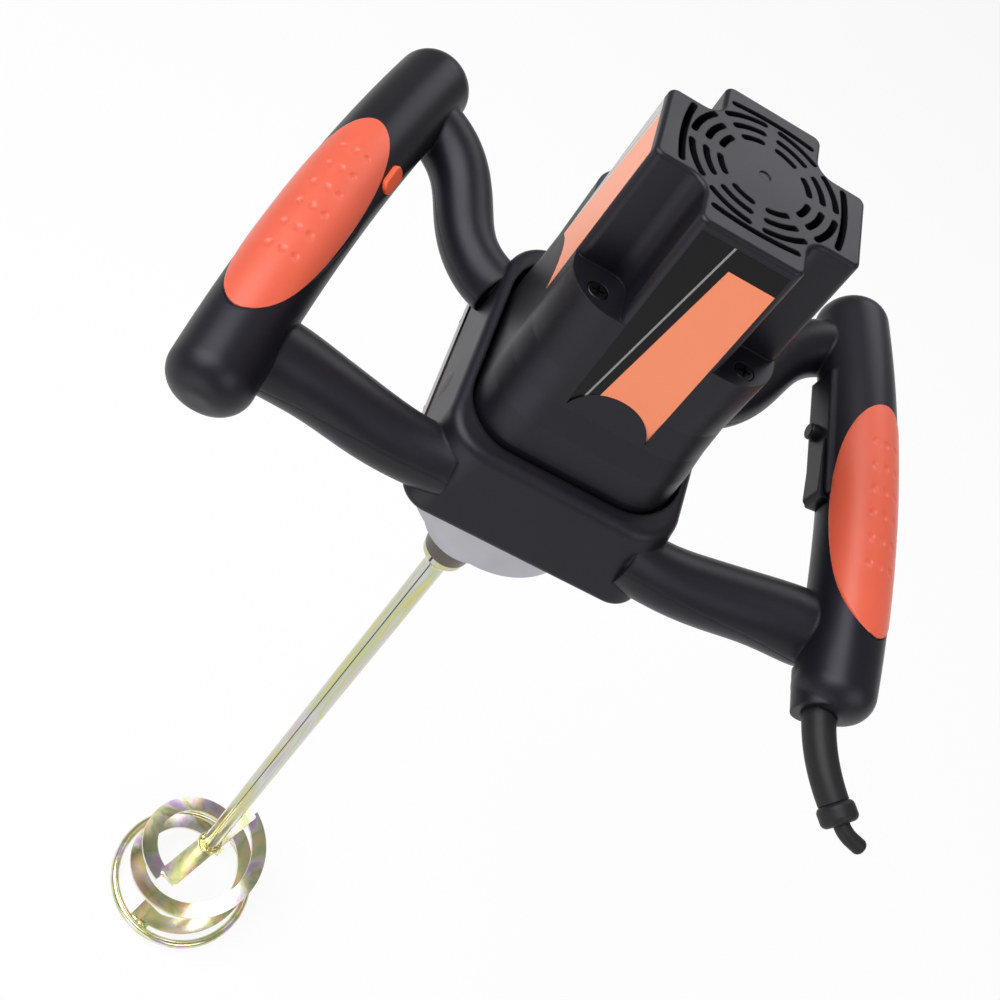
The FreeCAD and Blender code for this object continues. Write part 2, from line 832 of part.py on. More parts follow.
def gearbox_cover():
    """Plate between motor and gears, with seats for three upper bearings."""
    body = prism(rounded_rectangle(plate_half, plate_front, plate_back, plate_corner, case_top),
                 plate_thickness)
    boss = cylinder(low_bearing_radius + seat_wall, plate_top - 1, low_bearing_high)
    body = body.fuse(boss)
    body = body.cut(cylinder(low_bearing_radius, low_bearing_low, low_bearing_high + 1))
    body = body.cut(cylinder(tip_radius(first_pinion_teeth, first_module) + gear_room, case_top - 1,
                             low_bearing_high))
    body = body.cut(cylinder(spindle_bush_radius, case_top - 1, case_top + spindle_bush_length, 0,
                             spindle_offset))
    body = body.cut(cylinder(idler_bush_radius, case_top - 1, case_top + idler_bush_length, idler_x,
                             idler_y))
    for x, y in screw_places():
        body = body.cut(cylinder(cover_screw_radius + screw_clearance, case_top + 1, plate_top + 1, x,
                                 y))
    for x, y in gearbox_screw_places():
        body = body.cut(cylinder(case_screw_radius + screw_clearance, case_top - 1, plate_top + 1, x,
                                 y))
        body = body.cut(cylinder(screw_head_radius, plate_top - screw_head_height - 0.2, plate_top + 1,
                                 x, y))
    return body


def gearbox_screws():
    """Four screws from the bearing plate into the gear case."""
    screws = []
    for x, y in gearbox_screw_places():
        high = plate_top - 0.2
        head = cylinder(screw_head_radius - screw_clearance, high - screw_head_height, high, x, y)
        socket = Part.Face(hexagon(case_screw_radius, x, y,
                                   high - screw_head_height / 2)).extrude(Vector(0, 0,
                                                                                 screw_head_height))
        shank = cylinder(case_screw_radius, case_top - case_screw_grip, high - screw_head_height, x, y)
        screws.append(head.cut(socket).fuse(shank))
    return Part.makeCompound(screws)


def hexagon(radius, x, y, z):
    """A closed six-sided wire."""
    points = [Vector(x + radius * math.cos(math.pi * n / 3), y + radius * math.sin(math.pi * n / 3), z)
              for n in range(7)]
    return Part.makePolygon(points)


def case_pot():
    """The round pot of the gear case and its hollow cone down to the nose."""
    corner_z = case_top - pot_depth
    start_z = case_top - pot_start
    pot = Part.makeLoft([
        Part.Wire(Part.makeCircle(case_pot_radius, Vector(0, pot_centre_y, start_z))),
        Part.Wire(Part.makeCircle(pot_corner_radius, Vector(0, pot_centre_y, corner_z))),
    ], True, True)
    rings = []
    for number in range(cone_steps + 1):
        share = number / cone_steps
        radius = case_nose_radius + (pot_corner_radius - case_nose_radius) * (1 - share) ** cone_hollow
        y = pot_centre_y + (spindle_offset - pot_centre_y) * smooth_step(share * cone_straighten)
        z = corner_z + (nose_end - corner_z) * share
        rings.append(Part.Wire(Part.makeCircle(radius, Vector(0, y, z))))
    return pot.fuse(Part.makeLoft(rings, True, False))


def gear_case():
    """Cast case: a block inside the collar, a tilted flange under it, the pot and the nose."""
    block = prism(rounded_rectangle(plate_half, plate_front, plate_back, plate_corner,
                                    case_top - case_block_depth), case_block_depth)
    flange_low = collar_low - flange_thickness
    flange = prism(rounded_rectangle(flange_half, flange_front, flange_back, flange_corner, flange_low),
                   flange_thickness)
    body = joined([block, on_handle_plane(flange), case_pot()])
    plate_room = rounded_rectangle(plate_half + seat_gap, plate_front + seat_gap, plate_back + seat_gap,
                                   plate_corner + seat_gap, case_top)
    body = body.cut(prism(plate_room, plate_thickness))
    first_room = tip_radius(first_gear_teeth, first_module) + gear_room
    second_room = tip_radius(second_gear_teeth, second_module) + gear_room
    pinion_room = tip_radius(second_pinion_teeth, second_module) + gear_room
    body = body.cut(cylinder(first_room, first_gear_low - 2 * gear_room, case_top + 1, idler_x,
                             idler_y))
    body = body.cut(cylinder(second_room, case_floor, case_top + 1, 0, spindle_offset))
    body = body.cut(cylinder(pinion_room, case_floor, case_top, idler_x, idler_y))
    body = body.cut(cylinder(idler_bearing_radius, idler_bearing_low, case_floor, idler_x, idler_y))
    body = body.cut(cylinder(spindle_bearing_radius, spindle_bearing_low, case_floor + 1, 0,
                             spindle_offset))
    body = body.cut(cylinder(spindle_radius + spindle_room, nose_end - 1, spindle_bearing_low + 1, 0,
                             spindle_offset))
    body = body.cut(cylinder(seal_radius, nose_end - 1, nose_end + seal_width, 0, spindle_offset))
    for x, y in gearbox_screw_places():
        body = body.cut(cylinder(case_screw_radius + screw_clearance, case_top - case_screw_grip - 1,
                                 case_top + 1, x, y))
    for hole in frame_screw_solids(screw_clearance):
        body = body.cut(hole)
    return body


def spindle():
    """Output spindle with a threaded socket in its nose and a keyway for the output gear."""
    steps = [
        cylinder(spindle_top_radius, second_gear_top + circlip_lift, spindle_bush_high - 1, 0,
                 spindle_offset),
        cylinder(spindle_radius, nose_end - 1, second_gear_top + circlip_lift, 0, spindle_offset),
        Part.makeCone(spindle_nose_radius, spindle_nose_top, spindle_nose_length - nose_gap,
                      Vector(0, spindle_offset, spindle_end)),
    ]
    body = joined(steps)
    body = body.cut(cylinder(paddle_stud_radius, spindle_end - 1, spindle_end + paddle_stud_length, 0,
                             spindle_offset))
    body = body.cut(spindle_key())
    return body.cut(circlip_groove(circlip_inner))


def circlip_groove(inner):
    """The groove above the output gear."""
    return ring(spindle_radius + 1, inner, second_gear_top, second_gear_top + circlip_thickness, 0,
                spindle_offset)


def spindle_key():
    """Flat key between spindle and output gear."""
    y = spindle_offset + spindle_radius
    return box(-key_width / 2, key_width / 2, y - key_height / 2, y + key_height / 2, second_gear_low,
               second_gear_top)


def spindle_circlip():
    """Open spring ring that keeps the output gear in place."""
    body = ring(spindle_radius + circlip_proud, circlip_inner, second_gear_top,
                second_gear_top + circlip_thickness, 0, spindle_offset)
    gap = box(-circlip_gap / 2, circlip_gap / 2, spindle_offset - 2 * spindle_radius, spindle_offset,
              second_gear_top - 1, case_top)
    return body.cut(gap)


def output_gear():
    """Large gear keyed to the spindle, thinned between hub and rim."""
    body = gear(second_gear_teeth, second_module, second_gear_width, second_gear_low, 0, spindle_offset,
                output_tooth_angle)
    rim = second_module * second_gear_teeth / 2.0 - gear_rim
    for low in (second_gear_low, second_gear_top - web_depth):
        body = body.cut(ring(rim, gear_hub, low, low + web_depth, 0, spindle_offset))
    body = body.cut(cylinder(spindle_radius, second_gear_low - 1, second_gear_top + 1, 0,
                             spindle_offset))
    return body.cut(spindle_key())


def intermediate_shaft():
    """Short shaft between the two gear stages, with the second pinion cut on it."""
    pinion_low = second_gear_low - journal_run
    pinion_high = second_gear_top + journal_run
    steps = [
        cylinder(idler_radius, first_gear_top + journal_run, case_top + idler_bush_length - 1, idler_x,
                 idler_y),
        cylinder(idler_seat_radius, pinion_high, first_gear_top + journal_run, idler_x, idler_y),
        gear(second_pinion_teeth, second_module, pinion_high - pinion_low, pinion_low, idler_x, idler_y,
             second_pinion_angle),
        cylinder(idler_radius, idler_bearing_low + 0.5, pinion_low, idler_x, idler_y),
    ]
    return joined(steps)


def intermediate_gear():
    """Gear driven by the motor pinion."""
    gap_angle = idler_angle + 180.0 + 180.0 / first_gear_teeth
    body = gear(first_gear_teeth, first_module, first_gear_width, first_gear_low, idler_x, idler_y,
                gap_angle)
    return body.cut(cylinder(idler_seat_radius, first_gear_low - 1, first_gear_top + 1, idler_x,
                             idler_y))


def on_handle_plane(shape):
    """Moves a shape from the flat drawing of the handles to their tilted plane."""
    placed = shape.copy()
    tilt = Placement(Vector(0, 0, handle_plane), Rotation(Vector(1, 0, 0), handle_tilt))
    placed.Placement = tilt.multiply(placed.Placement)
    return placed


def on_grip(shape):
    """Moves a shape drawn about the right grip, its length along Y, into the drawing of the handles."""
    placed = shape.copy()
    place = Placement(Vector(grip_mid_x, grip_mid_v, 0), Rotation(Vector(0, 0, 1), grip_toe))
    placed.Placement = place.multiply(placed.Placement)
    return placed


def on_cord(shape):
    """Moves a shape drawn about the cord (leaving along Y) into the flat drawing of the handles."""
    placed = shape.copy()
    place = Placement(Vector(cord_root_x, cord_root_v, cord_root_w),
                      Rotation(Vector(0, 0, 1), 180.0 + cord_lean))
    placed.Placement = place.multiply(placed.Placement)
    return placed


def bow(y):
    """How far the grip's axis has sunk, across and down, at distance y from its middle."""
    lean = math.radians(grip_bow_lean)
    sag = y * y / (2.0 * grip_bow_radius)
    return -sag * math.sin(lean), -sag * math.cos(lean)


def bowed_bar(radius, half_length):
    """A round bar along Y, bowed outwards and up."""
    lean = math.radians(grip_bow_lean)
    centre = Vector(-grip_bow_radius * math.sin(lean), 0, -grip_bow_radius * math.cos(lean))
    axis = Vector(-math.cos(lean), 0, math.sin(lean))
    turn = math.degrees(half_length / grip_bow_radius)
    disc = Part.Face(Part.Wire(Part.makeCircle(radius, Vector(0, 0, 0), Vector(0, 1, 0))))
    disc.rotate(centre, axis, -turn)
    return disc.revolve(centre, axis, 2 * turn)


def grip_form(offset):
    """The bowed round grip with domed ends, drawn in by offset, its length along Y."""
    radius = grip_radius - offset
    bar = bowed_bar(radius, grip_half_length - offset)
    girth = 2 * math.pi * radius
    ends = [edge for edge in bar.Edges if abs(edge.Length - girth) < 0.01 * radius]
    return bar.makeFillet(min(grip_end_round, radius * 0.9), ends)


def arm_form(stations):
    """A round arm through stations of (x, v, w, radius)."""
    wires = []
    last = len(stations) - 1
    for number, (x, v, w, radius) in enumerate(stations):
        before = Vector(*stations[max(0, number - 1)][:3])
        after = Vector(*stations[min(last, number + 1)][:3])
        wires.append(Part.Wire(Part.makeCircle(radius, Vector(x, v, w), after.sub(before))))
    return Part.makeLoft(wires, True, False)


def grip_x(v):
    """Where the axis of the right grip lies at distance v along the tool's front-to-back line."""
    return grip_mid_x - (v - grip_mid_v) * math.tan(math.radians(grip_toe))


def front_arm_station(number):
    """Centre and radius of the front arm at one station."""
    share, forward, drop, swell = front_arm_shape[number]
    span = grip_x(front_arm_v) - collar_half
    return collar_half + span * share, front_arm_v - forward, -drop, front_arm_radius * swell


def front_arm(offset, first):
    """The front arm from the collar to the underside of the grip."""
    stations = [front_arm_station(number) for number in range(first, len(front_arm_shape))]
    return arm_form([(x, v, w, radius - offset) for x, v, w, radius in stations])


def back_arm(offset, first):
    """The back arm from the collar in an S to the inner side of the grip."""
    span = grip_x(back_arm_grip_v) - collar_half
    reach = back_arm_grip_v - back_arm_collar_v
    stations = []
    for share, along, drop, swell in back_arm_shape[first:]:
        stations.append((collar_half + span * share, back_arm_collar_v + reach * along, -drop,
                         back_arm_radius * swell - offset))
    return arm_form(stations)


def collar_block():
    """The collar as a full block, wider at its foot, with rounded edges."""
    foot = rounded_rectangle(collar_half, collar_front, collar_back, collar_corner, collar_low)
    top_half = collar_half - collar_taper
    top_front = collar_front - collar_front_slope
    top_back = collar_back - collar_taper / 2
    top = rounded_rectangle(top_half, top_front, top_back, collar_top_corner, collar_rise)
    body = Part.makeLoft([foot, top], True, True)
    upper = [edge for edge in body.Edges if abs(edge.BoundBox.ZMin - collar_rise) < 0.01]
    body = body.makeFillet(collar_top_round, upper)
    lower = [edge for edge in body.Edges if abs(edge.BoundBox.ZMax - collar_low) < 0.01]
    return body.makeFillet(collar_low_round, lower)


def handle_form(offset, first):
    """Grip and two arms of the right handle, drawn in by offset, the arms from a station on."""
    return merged([on_grip(grip_form(offset)), front_arm(offset, first), back_arm(offset, first)])


def above_parting(low, high):
    """A wide slab between two heights, to part the handles."""
    reach = 400.0
    return box(-reach, reach, -reach, reach, low, high)


def pad_outline(height):
    """The oval of a grip pad, pushed outwards, leaning away from the tool."""
    oval = Part.Ellipse(Vector(0, 0, 0), pad_half_length, pad_half_width)
    body = Part.Face(Part.Wire(oval.toShape())).extrude(Vector(0, 0, height))
    body.rotate(Vector(0, 0, 0), Vector(0, 0, 1), 90)
    body.rotate(Vector(0, 0, 0), Vector(0, 1, 0), pad_lean)
    body.translate(Vector(0, pad_centre_y, 0))
    return body


def grip_tube(outer, inner):
    """A bowed tube along the grip between two radii."""
    half = grip_half_length - grip_end_round
    return bowed_bar(outer, half).cut(bowed_bar(inner, half))


def obround(length, width, x0, x1, y, w, grow):
    """A bar along X with a long round-ended section, grown by grow."""
    radius = width / 2 + grow
    half = (length - width) / 2
    ends = [Part.makeCylinder(radius, x1 - x0, Vector(x0, y + side * half, w), Vector(1, 0, 0))
            for side in (-1, 1)]
    return joined(ends + [box(x0, x1, y - half, y + half, w - radius, w + radius)])


def trigger_outline(w):
    """The trigger seen along its pin: a finger curve that ends in a lip."""
    skin = -grip_radius
    back = trigger_back_y
    front = back - trigger_length
    inner = -trigger_inner
    start = Vector(skin - trigger_heel, back, w)
    middle = Vector(skin - trigger_proud, (back + front) / 2, w)
    lip = Vector(skin - trigger_lip, front + trigger_lip_round, w)
    nose = Vector(skin - trigger_lip + trigger_lip_round, front, w)
    bend = trigger_lip_round * (1 - math.sqrt(0.5))
    lip_middle = Vector(skin - trigger_lip + bend, front + bend, w)
    foot = Vector(inner, front, w)
    root = Vector(inner, back, w)
    return Part.Wire([
        Part.Arc(start, middle, lip).toShape(),
        Part.Arc(lip, lip_middle, nose).toShape(),
        Part.LineSegment(nose, foot).toShape(),
        Part.LineSegment(foot, root).toShape(),
        Part.LineSegment(root, start).toShape(),
    ])


def pin_hole(radius, low, high):
    """An upright bar at the trigger's pin."""
    return cylinder(radius, low, high, -trigger_pin_x, trigger_back_y - trigger_pin_back)


def trigger():
    """Finger trigger that swings about a pin near its back end."""
    low = -trigger_low - trigger_width / 2
    body = Part.Face(trigger_outline(low)).extrude(Vector(0, 0, trigger_width))
    return body.cut(pin_hole(trigger_pin_radius + running_gap, low - 1, low + trigger_width + 1))


def trigger_pin():
    """Steel pin through the trigger and the two ears of the switch."""
    low = -trigger_low - trigger_width / 2 - ear_gap - ear_thickness
    return pin_hole(trigger_pin_radius, low, low + trigger_width + 2 * (ear_gap + ear_thickness))


def trigger_ears(grow):
    """The two ears that carry the trigger's pin or, with grow, the pocket round both."""
    y = trigger_back_y - trigger_pin_back
    half = ear_half + grow
    low = -trigger_low - trigger_width / 2 - ear_gap - ear_thickness
    high = -trigger_low + trigger_width / 2 + ear_gap + ear_thickness
    tip = -trigger_pin_x - half
    if grow:
        return box(tip, -switch_inner + 1, y - half, y + half, low - grow, high + grow)
    lower = box(tip, -switch_inner + 1, y - half, y + half, low, low + ear_thickness)
    upper = box(tip, -switch_inner + 1, y - half, y + half, high - ear_thickness, high)
    return lower.fuse(upper)


def trigger_switch():
    """Switch block in the grip, with two ears that carry the trigger's pin."""
    body = box(-switch_inner, switch_outer, switch_front_y, trigger_back_y + switch_behind, switch_low,
               switch_top)
    return body.fuse(trigger_ears(0.0)).cut(pin_hole(trigger_pin_radius, 2 * switch_low, 2 * switch_top))


def speed_control_board():
    """Circuit board against the front of the switch, with its two large parts."""
    low = switch_low + board_lift
    back = switch_front_y - seat_gap
    board = box(-board_half, board_half, back - board_length, back, low, low + board_thickness)
    sink = box(-board_half * 0.7, board_half * 0.7, back - board_length * 0.45,
               back - board_length * 0.2,
               low + board_thickness, low + board_thickness + board_part_height)
    can = cylinder(board_half * 0.6, low + board_thickness, low + board_thickness + board_part_height,
                   0, back - board_length * 0.75)
    return joined([board, sink, can])


def trigger_panel():
    """Flat raised panel round the trigger and the knob on the inner side of the grip."""
    start = -grip_radius - panel_proud
    body = box(start, -grip_radius / 2, panel_front_y, panel_back_y, panel_low, panel_high)
    face_edges = [edge for edge in body.Edges if edge.BoundBox.XMax < start + panel_round]
    body = body.makeFillet(panel_round, face_edges)
    return body.cut(bowed_bar(grip_radius - handle_wall, grip_half_length))


def knob_solid(grow, start, end):
    """The round lock knob or, with grow, its hole."""
    return Part.makeCylinder(lock_knob_radius + grow, end - start,
                             Vector(start, lock_knob_y, -lock_knob_low), Vector(1, 0, 0))


def lock_knob():
    """Round knob that holds the trigger in; a rim inside keeps it from falling out."""
    start = -grip_radius - lock_knob_proud
    end = -knob_inner
    body = knob_solid(0.0, start, end)
    body = body.makeFillet(1.2, [edge for edge in body.Edges if edge.BoundBox.XMax < start + 0.01])
    rim = knob_solid(knob_rim, end - knob_rim, end)
    return body.fuse(rim)


def thumb_button_form(start, end, grow):
    """The oval of the thumb button between two distances from the grip's axis, on its inner shoulder."""
    body = obround(thumb_button_length, thumb_button_width, start, end, 0.0, 0.0, grow)
    if not grow:
        body = body.makeFillet(thumb_button_round,
                               [edge for edge in body.Edges if edge.BoundBox.XMax < start + 0.01])
    return on_shoulder(body)


def on_shoulder(shape):
    """Turns a shape drawn along X up to the inner shoulder of the grip, where the grip has sunk."""
    placed = shape.copy()
    placed.rotate(Vector(0, 0, 0), Vector(0, 1, 0), thumb_button_turn)
    across, sunk = bow(thumb_button_y)
    placed.translate(Vector(across, thumb_button_y, sunk))
    return placed


def thumb_button():
    """Oval push button, with a rim inside the grip."""
    body = thumb_button_form(-grip_radius - thumb_button_proud, -knob_inner, 0.0)
    return body.fuse(thumb_button_form(-knob_inner - knob_rim, -knob_inner, knob_rim))


def cover_screw_spots():
    """Screws of one handle cover: x, v, the handle's lowest height there and the boss's highest."""
    spots = []
    turn = math.radians(grip_toe)
    for along in (cover_screw_back_y, cover_screw_mid_y):
        across, sunk = bow(along)
        x = grip_mid_x + across * math.cos(turn) - along * math.sin(turn)
        v = grip_mid_v + across * math.sin(turn) + along * math.cos(turn)
        spots.append((x, v, sunk - grip_radius, sunk + grip_radius - handle_wall + boss_root))
    x, v, w, radius = front_arm_station(2)
    spots.append((x, v, w - radius, w + radius - handle_wall + boss_root))
    return spots


def handle_screw_solids(grow):
    """Screws of one handle cover, or with grow their holes."""
    solids = []
    for x, v, low, high in cover_screw_spots():
        seat = low + handle_head_depth
        head_length = handle_head_height + (handle_head_depth if grow else 0.0)
        head = cylinder(handle_screw_head + grow, seat - head_length, seat, x, v)
        tip = min(handle_screw_bite - parting_drop, high - boss_root)
        shank = cylinder(handle_screw_radius + grow * 0.5, seat - boss_root, tip, x, v)
        solids.append(head.fuse(shank))
    return solids


def handle_bosses(above):
    """Posts for the cover screws, above or below the parting."""
    posts = []
    for x, v, low, high in cover_screw_spots():
        if above:
            posts.append(cylinder(handle_boss_radius, -parting_drop, high, x, v))
        else:
            posts.append(cylinder(handle_boss_radius + boss_root, low + boss_root, -parting_drop, x, v))
    return posts


def pad_pocket():
    """Recess in the right grip for its pad, open outwards."""
    depth = grip_tube(grip_radius * 2, grip_radius - pad_depth)
    return on_grip(pad_outline(grip_radius * 2).common(depth))


def upper_handle(shell, outside):
    """Upper part of the right handle: bosses in, pad pocket and screw holes out."""
    body = shell.common(above_parting(-parting_drop, 100))
    posts = [post.common(outside) for post in handle_bosses(True)]
    body = merged([body] + posts)
    body = body.cut(pad_pocket())
    for hole in handle_screw_solids(screw_clearance):
        body = body.cut(hole)
    return body


def lower_handle(shell, outside):
    """Lower cover of the right handle, cut to the collar."""
    body = shell.common(above_parting(-100, -parting_drop))
    posts = [post.common(outside).common(above_parting(-100, -parting_drop))
             for post in handle_bosses(False)]
    body = merged([body] + posts).cut(collar_block())
    for hole in handle_screw_solids(screw_clearance):
        body = body.cut(hole)
    return body


def frame_screw_solids(grow):
    """Screws from under the gear case flange into the side walls of the collar, or their holes."""
    solids = []
    for side in (-1, 1):
        for v in (frame_screw_front_v, frame_screw_back_v):
            x = side * (collar_half + plate_half + collar_gap / 2) / 2
            low = collar_low - flange_thickness
            head = cylinder(frame_screw_head + grow, low - frame_screw_head_height, low, x, v)
            shank = cylinder(frame_screw_radius + grow, low - 1, collar_low + frame_screw_bite, x, v)
            solids.append(on_handle_plane(head.fuse(shank)))
    return solids


def switch_ribs():
    """Two ribs under the roof of the right grip that seat the switch."""
    ribs = []
    for y in (trigger_back_y - rib_inset, switch_front_y + rib_inset):
        ribs.append(box(-rib_half_width, rib_half_width, y - rib_thickness / 2, y + rib_thickness / 2,
                        switch_top + seat_gap, grip_radius))
    roof = bowed_bar(grip_radius - pad_depth - seat_gap, grip_half_length)
    return [rib.common(roof) for rib in ribs]


def cord_boss(grow):
    """Socket at the front end of the right grip for the cord's sleeve."""
    return Part.makeCylinder(sleeve_radius + cord_boss_wall + grow, cord_boss_length,
                             Vector(0, -cord_boss_back, 0), Vector(0, 1, 0))


def cord_bore():
    """Stepped bore in the socket: wide for the sleeve, narrow for the cord behind it."""
    along = Vector(0, 1, 0)
    wide = Part.makeCylinder(sleeve_radius + screw_clearance, cord_bore_length, Vector(0, 0, 0), along)
    narrow = Part.makeCylinder(cord_radius + cord_room, cord_bore_length,
                               Vector(0, -cord_bore_length / 2, 0), along)
    return wide.fuse(narrow)


def handle_frame():
    """Collar and the upper parts of both handles in one moulding."""
    right = upper_handle(shell_right, outside_right)
    left = mirrored(right)
    additions = [on_grip(part) for part in switch_ribs() + [trigger_panel()]]
    right = merged([right] + additions + [on_cord(cord_boss(0.0))]).cut(pad_pocket())
    slot_low = -trigger_low - trigger_width / 2 - trigger_slot_room
    slot_high = -trigger_low + trigger_width / 2 + trigger_slot_room
    slot = box(-grip_radius * 2, -switch_inner, trigger_back_y - trigger_length - trigger_swing_room,
               trigger_back_y + trigger_slot_room, slot_low, slot_high)
    right = right.cut(on_grip(slot)).cut(on_grip(trigger_ears(seat_gap)))
    right = right.cut(on_grip(knob_solid(button_room, -grip_radius * 2, -knob_inner)))
    right = right.cut(on_cord(cord_bore()))
    hole = thumb_button_form(-grip_radius * 2, -knob_inner, button_room)
    left = left.cut(mirrored(on_grip(hole)))
    block = collar_block()
    mouth = prism(rounded_rectangle(cover_low_half + collar_gap, cover_low_front + collar_gap,
                                    cover_low_back + collar_gap, cover_low_corner + collar_gap,
                                    plate_top), cover_length)
    well_depth = 2 * collar_height
    well_room = collar_gap / 2
    well = prism(rounded_rectangle(plate_half + well_room, plate_front + well_room,
                                   plate_back + well_room,
                                   plate_corner + well_room,
                                   plate_top + well_room - well_depth), well_depth)
    body = merged([on_handle_plane(part) for part in (block, right, left)]).cut(mouth).cut(well)
    for hole in frame_screw_solids(screw_clearance):
        body = body.cut(hole)
    return body


def grip_pad():
    """Soft pad let into the top of the right grip."""
    return on_grip(pad_outline(grip_radius * 2).common(grip_tube(grip_radius + pad_proud,
                                                                 grip_radius - pad_depth)))


def bend_end(length, radius, turn):
    """Place at the end of a straight run along Y and a bend away from X."""
    angle = math.radians(turn)
    point = Vector(radius * (math.cos(angle) - 1), length + radius * math.sin(angle), 0)
    return Placement(point, Rotation(Vector(0, 0, 1), turn))


def moved(shape, placement):
    """A copy of the shape at a further placement."""
    placed = shape.copy()
    placed.Placement = placement.multiply(placed.Placement)
    return placed


def bent_path(start, runs):
    """A path along Y from start: straight runs, each with a bend away from X after it, and its end."""
    place = Placement(Vector(0, start, 0), Rotation())
    edges = []
    for straight, radius, turn in runs:
        corner = place.multVec(Vector(0, straight, 0))
        edges.append(Part.LineSegment(place.Base, corner).toShape())
        middle = place.multiply(bend_end(straight, radius, turn / 2))
        place = place.multiply(bend_end(straight, radius, turn))
        if turn:
            edges.append(Part.Arc(corner, middle.Base, place.Base).toShape())
    return Part.Wire(edges), place


def bent_bar(radius, end_radius, start, runs):
    """A round bar along a bent path, tapered from one radius to another."""
    path, end = bent_path(start, runs)
    outlines = [Part.Wire(Part.makeCircle(radius, Vector(0, start, 0), Vector(0, 1, 0)))]
    if end_radius != radius:
        way = end.Rotation.multVec(Vector(0, 1, 0))
        outlines.append(Part.Wire(Part.makeCircle(end_radius, end.Base, way)))
    return path.makePipeShell(outlines, True, False)


def cord_stub():
    """The end of the cord from the clamp in the grip to its free end."""
    runs = [(cord_inside + sleeve_straight, sleeve_bend_radius, sleeve_bend),
            (sleeve_bulb_length, cord_bend_radius, cord_bend), (cord_end_length, 0.0, 0.0)]
    path, tip = bent_path(-cord_inside, runs)
    bar = bent_bar(cord_radius, cord_radius, -cord_inside, runs)
    rim = [edge for edge in bar.Edges if edge.CenterOfMass.distanceToPoint(tip.Base) < running_gap]
    return on_cord(bar.makeFillet(cord_radius * 0.7, rim))


def cord_sleeve():
    """Rubber sleeve that guards the cord against sharp bends, with a thick ring at its end."""
    bend = (sleeve_straight - seat_gap, sleeve_bend_radius, sleeve_bend)
    body = bent_bar(sleeve_radius, sleeve_end_radius, seat_gap, [bend])
    path, place = bent_path(seat_gap, [bend])
    bulb = Part.makeCylinder(sleeve_bulb_radius, sleeve_bulb_length, Vector(0, 0, 0), Vector(0, 1, 0))
    bulb = moved(bulb.makeFillet(sleeve_bulb_length * 0.3, [bulb.Edges[0], bulb.Edges[2]]), place)
    bore_runs = [(sleeve_straight + cord_radius, sleeve_bend_radius, sleeve_bend),
                 (sleeve_bulb_length + cord_radius, 0.0, 0.0)]
    bore_radius = cord_radius + running_gap
    bore = bent_bar(bore_radius, bore_radius, -cord_radius, bore_runs)
    return on_cord(body.fuse(bulb).cut(bore))


def cord_clamp():
    """Block that presses the cord inside the grip, up against the roof."""
    block = box(-clamp_half, clamp_half, -clamp_back - clamp_length, -clamp_back, -cord_radius * 0.6,
                2 * grip_radius)
    block = block.cut(Part.makeCylinder(cord_radius, cord_bore_length, Vector(0, -cord_bore_length, 0),
                                        Vector(0, 1, 0)))
    return on_cord(block).common(on_grip(grip_form(handle_wall + seat_gap)))


def paddle_hub():
    """Threaded stud and flared shoulder at the top of the paddle."""
    stud = cylinder(paddle_stud_radius, spindle_end, spindle_end + paddle_stud_length - 1, 0,
                    spindle_offset)
    cone_low = spindle_end - paddle_flare_length
    neck = paddle_shaft_radius
    rim = paddle_flare_radius
    face = spindle_end - paddle_flare_rim
    profile = Part.Wire([
        Part.LineSegment(Vector(0, 0, spindle_end), Vector(rim, 0, spindle_end)).toShape(),
        Part.LineSegment(Vector(rim, 0, spindle_end), Vector(rim, 0, face)).toShape(),
        Part.Arc(Vector(rim, 0, face), Vector(neck + (rim - neck) * 0.3, 0, (face + cone_low) / 2),
                 Vector(neck, 0, cone_low)).toShape(),
        Part.LineSegment(Vector(neck, 0, cone_low), Vector(0, 0, cone_low)).toShape(),
        Part.LineSegment(Vector(0, 0, cone_low), Vector(0, 0, spindle_end)).toShape(),
    ])
    flare = Part.Face(profile).revolve(Vector(0, 0, 0), Vector(0, 0, 1), 360)
    flare.translate(Vector(0, spindle_offset, 0))
    return stud.fuse(flare)


def about_spindle(shape, angle):
    """Turns a shape drawn about the origin, and moves it to the spindle's axis."""
    placed = shape.copy()
    placed.rotate(Vector(0, 0, 0), Vector(0, 0, 1), angle)
    placed.translate(Vector(0, spindle_offset, 0))
    return placed


def paddle_crossbar():
    """Flat bar under the end of the shaft that carries both ribbons."""
    half = ribbon_outer - bar_end_gap
    bar = box(-half, half, -bar_width / 2, bar_width / 2, bar_low, bar_low + bar_thickness)
    corners = [edge for edge in bar.Edges if edge.BoundBox.ZLength > bar_thickness / 2]
    return about_spindle(bar.makeFillet(bar_corner, corners), bar_angle)


def paddle_ribbon(number):
    """Flat strip wound upwards from a lug on the bottom ring to the crossbar."""
    pitch = ribbon_climb * 360.0 / ribbon_turn
    inner = Part.makeHelix(pitch, ribbon_climb, ribbon_outer - ribbon_width)
    outer = Part.makeHelix(pitch, ribbon_climb, ribbon_outer)
    strip = Part.makeRuledSurface(inner.Edges[0],
                                  outer.Edges[0]).extrude(Vector(0, 0, ribbon_thickness))
    strip.translate(Vector(0, 0, ribbon_low))
    rod_line = paddle_ring_outer - paddle_rod_radius
    lug = box(lug_start, rod_line, -lug_width / 2, lug_width / 2, ring_z - ribbon_thickness / 2,
              ring_z + ribbon_thickness / 2)
    lug = lug.cut(Part.makeTorus(rod_line, paddle_rod_radius + weld_gap, Vector(0, 0, ring_z)))
    return about_spindle(strip.fuse(lug), ribbon_start + 180.0 * number)


def paddle_ring():
    """Bottom ring of round rod."""
    hoop = Part.makeTorus(paddle_ring_outer - paddle_rod_radius, paddle_rod_radius,
                          Vector(0, spindle_offset, ring_z))
    return hoop


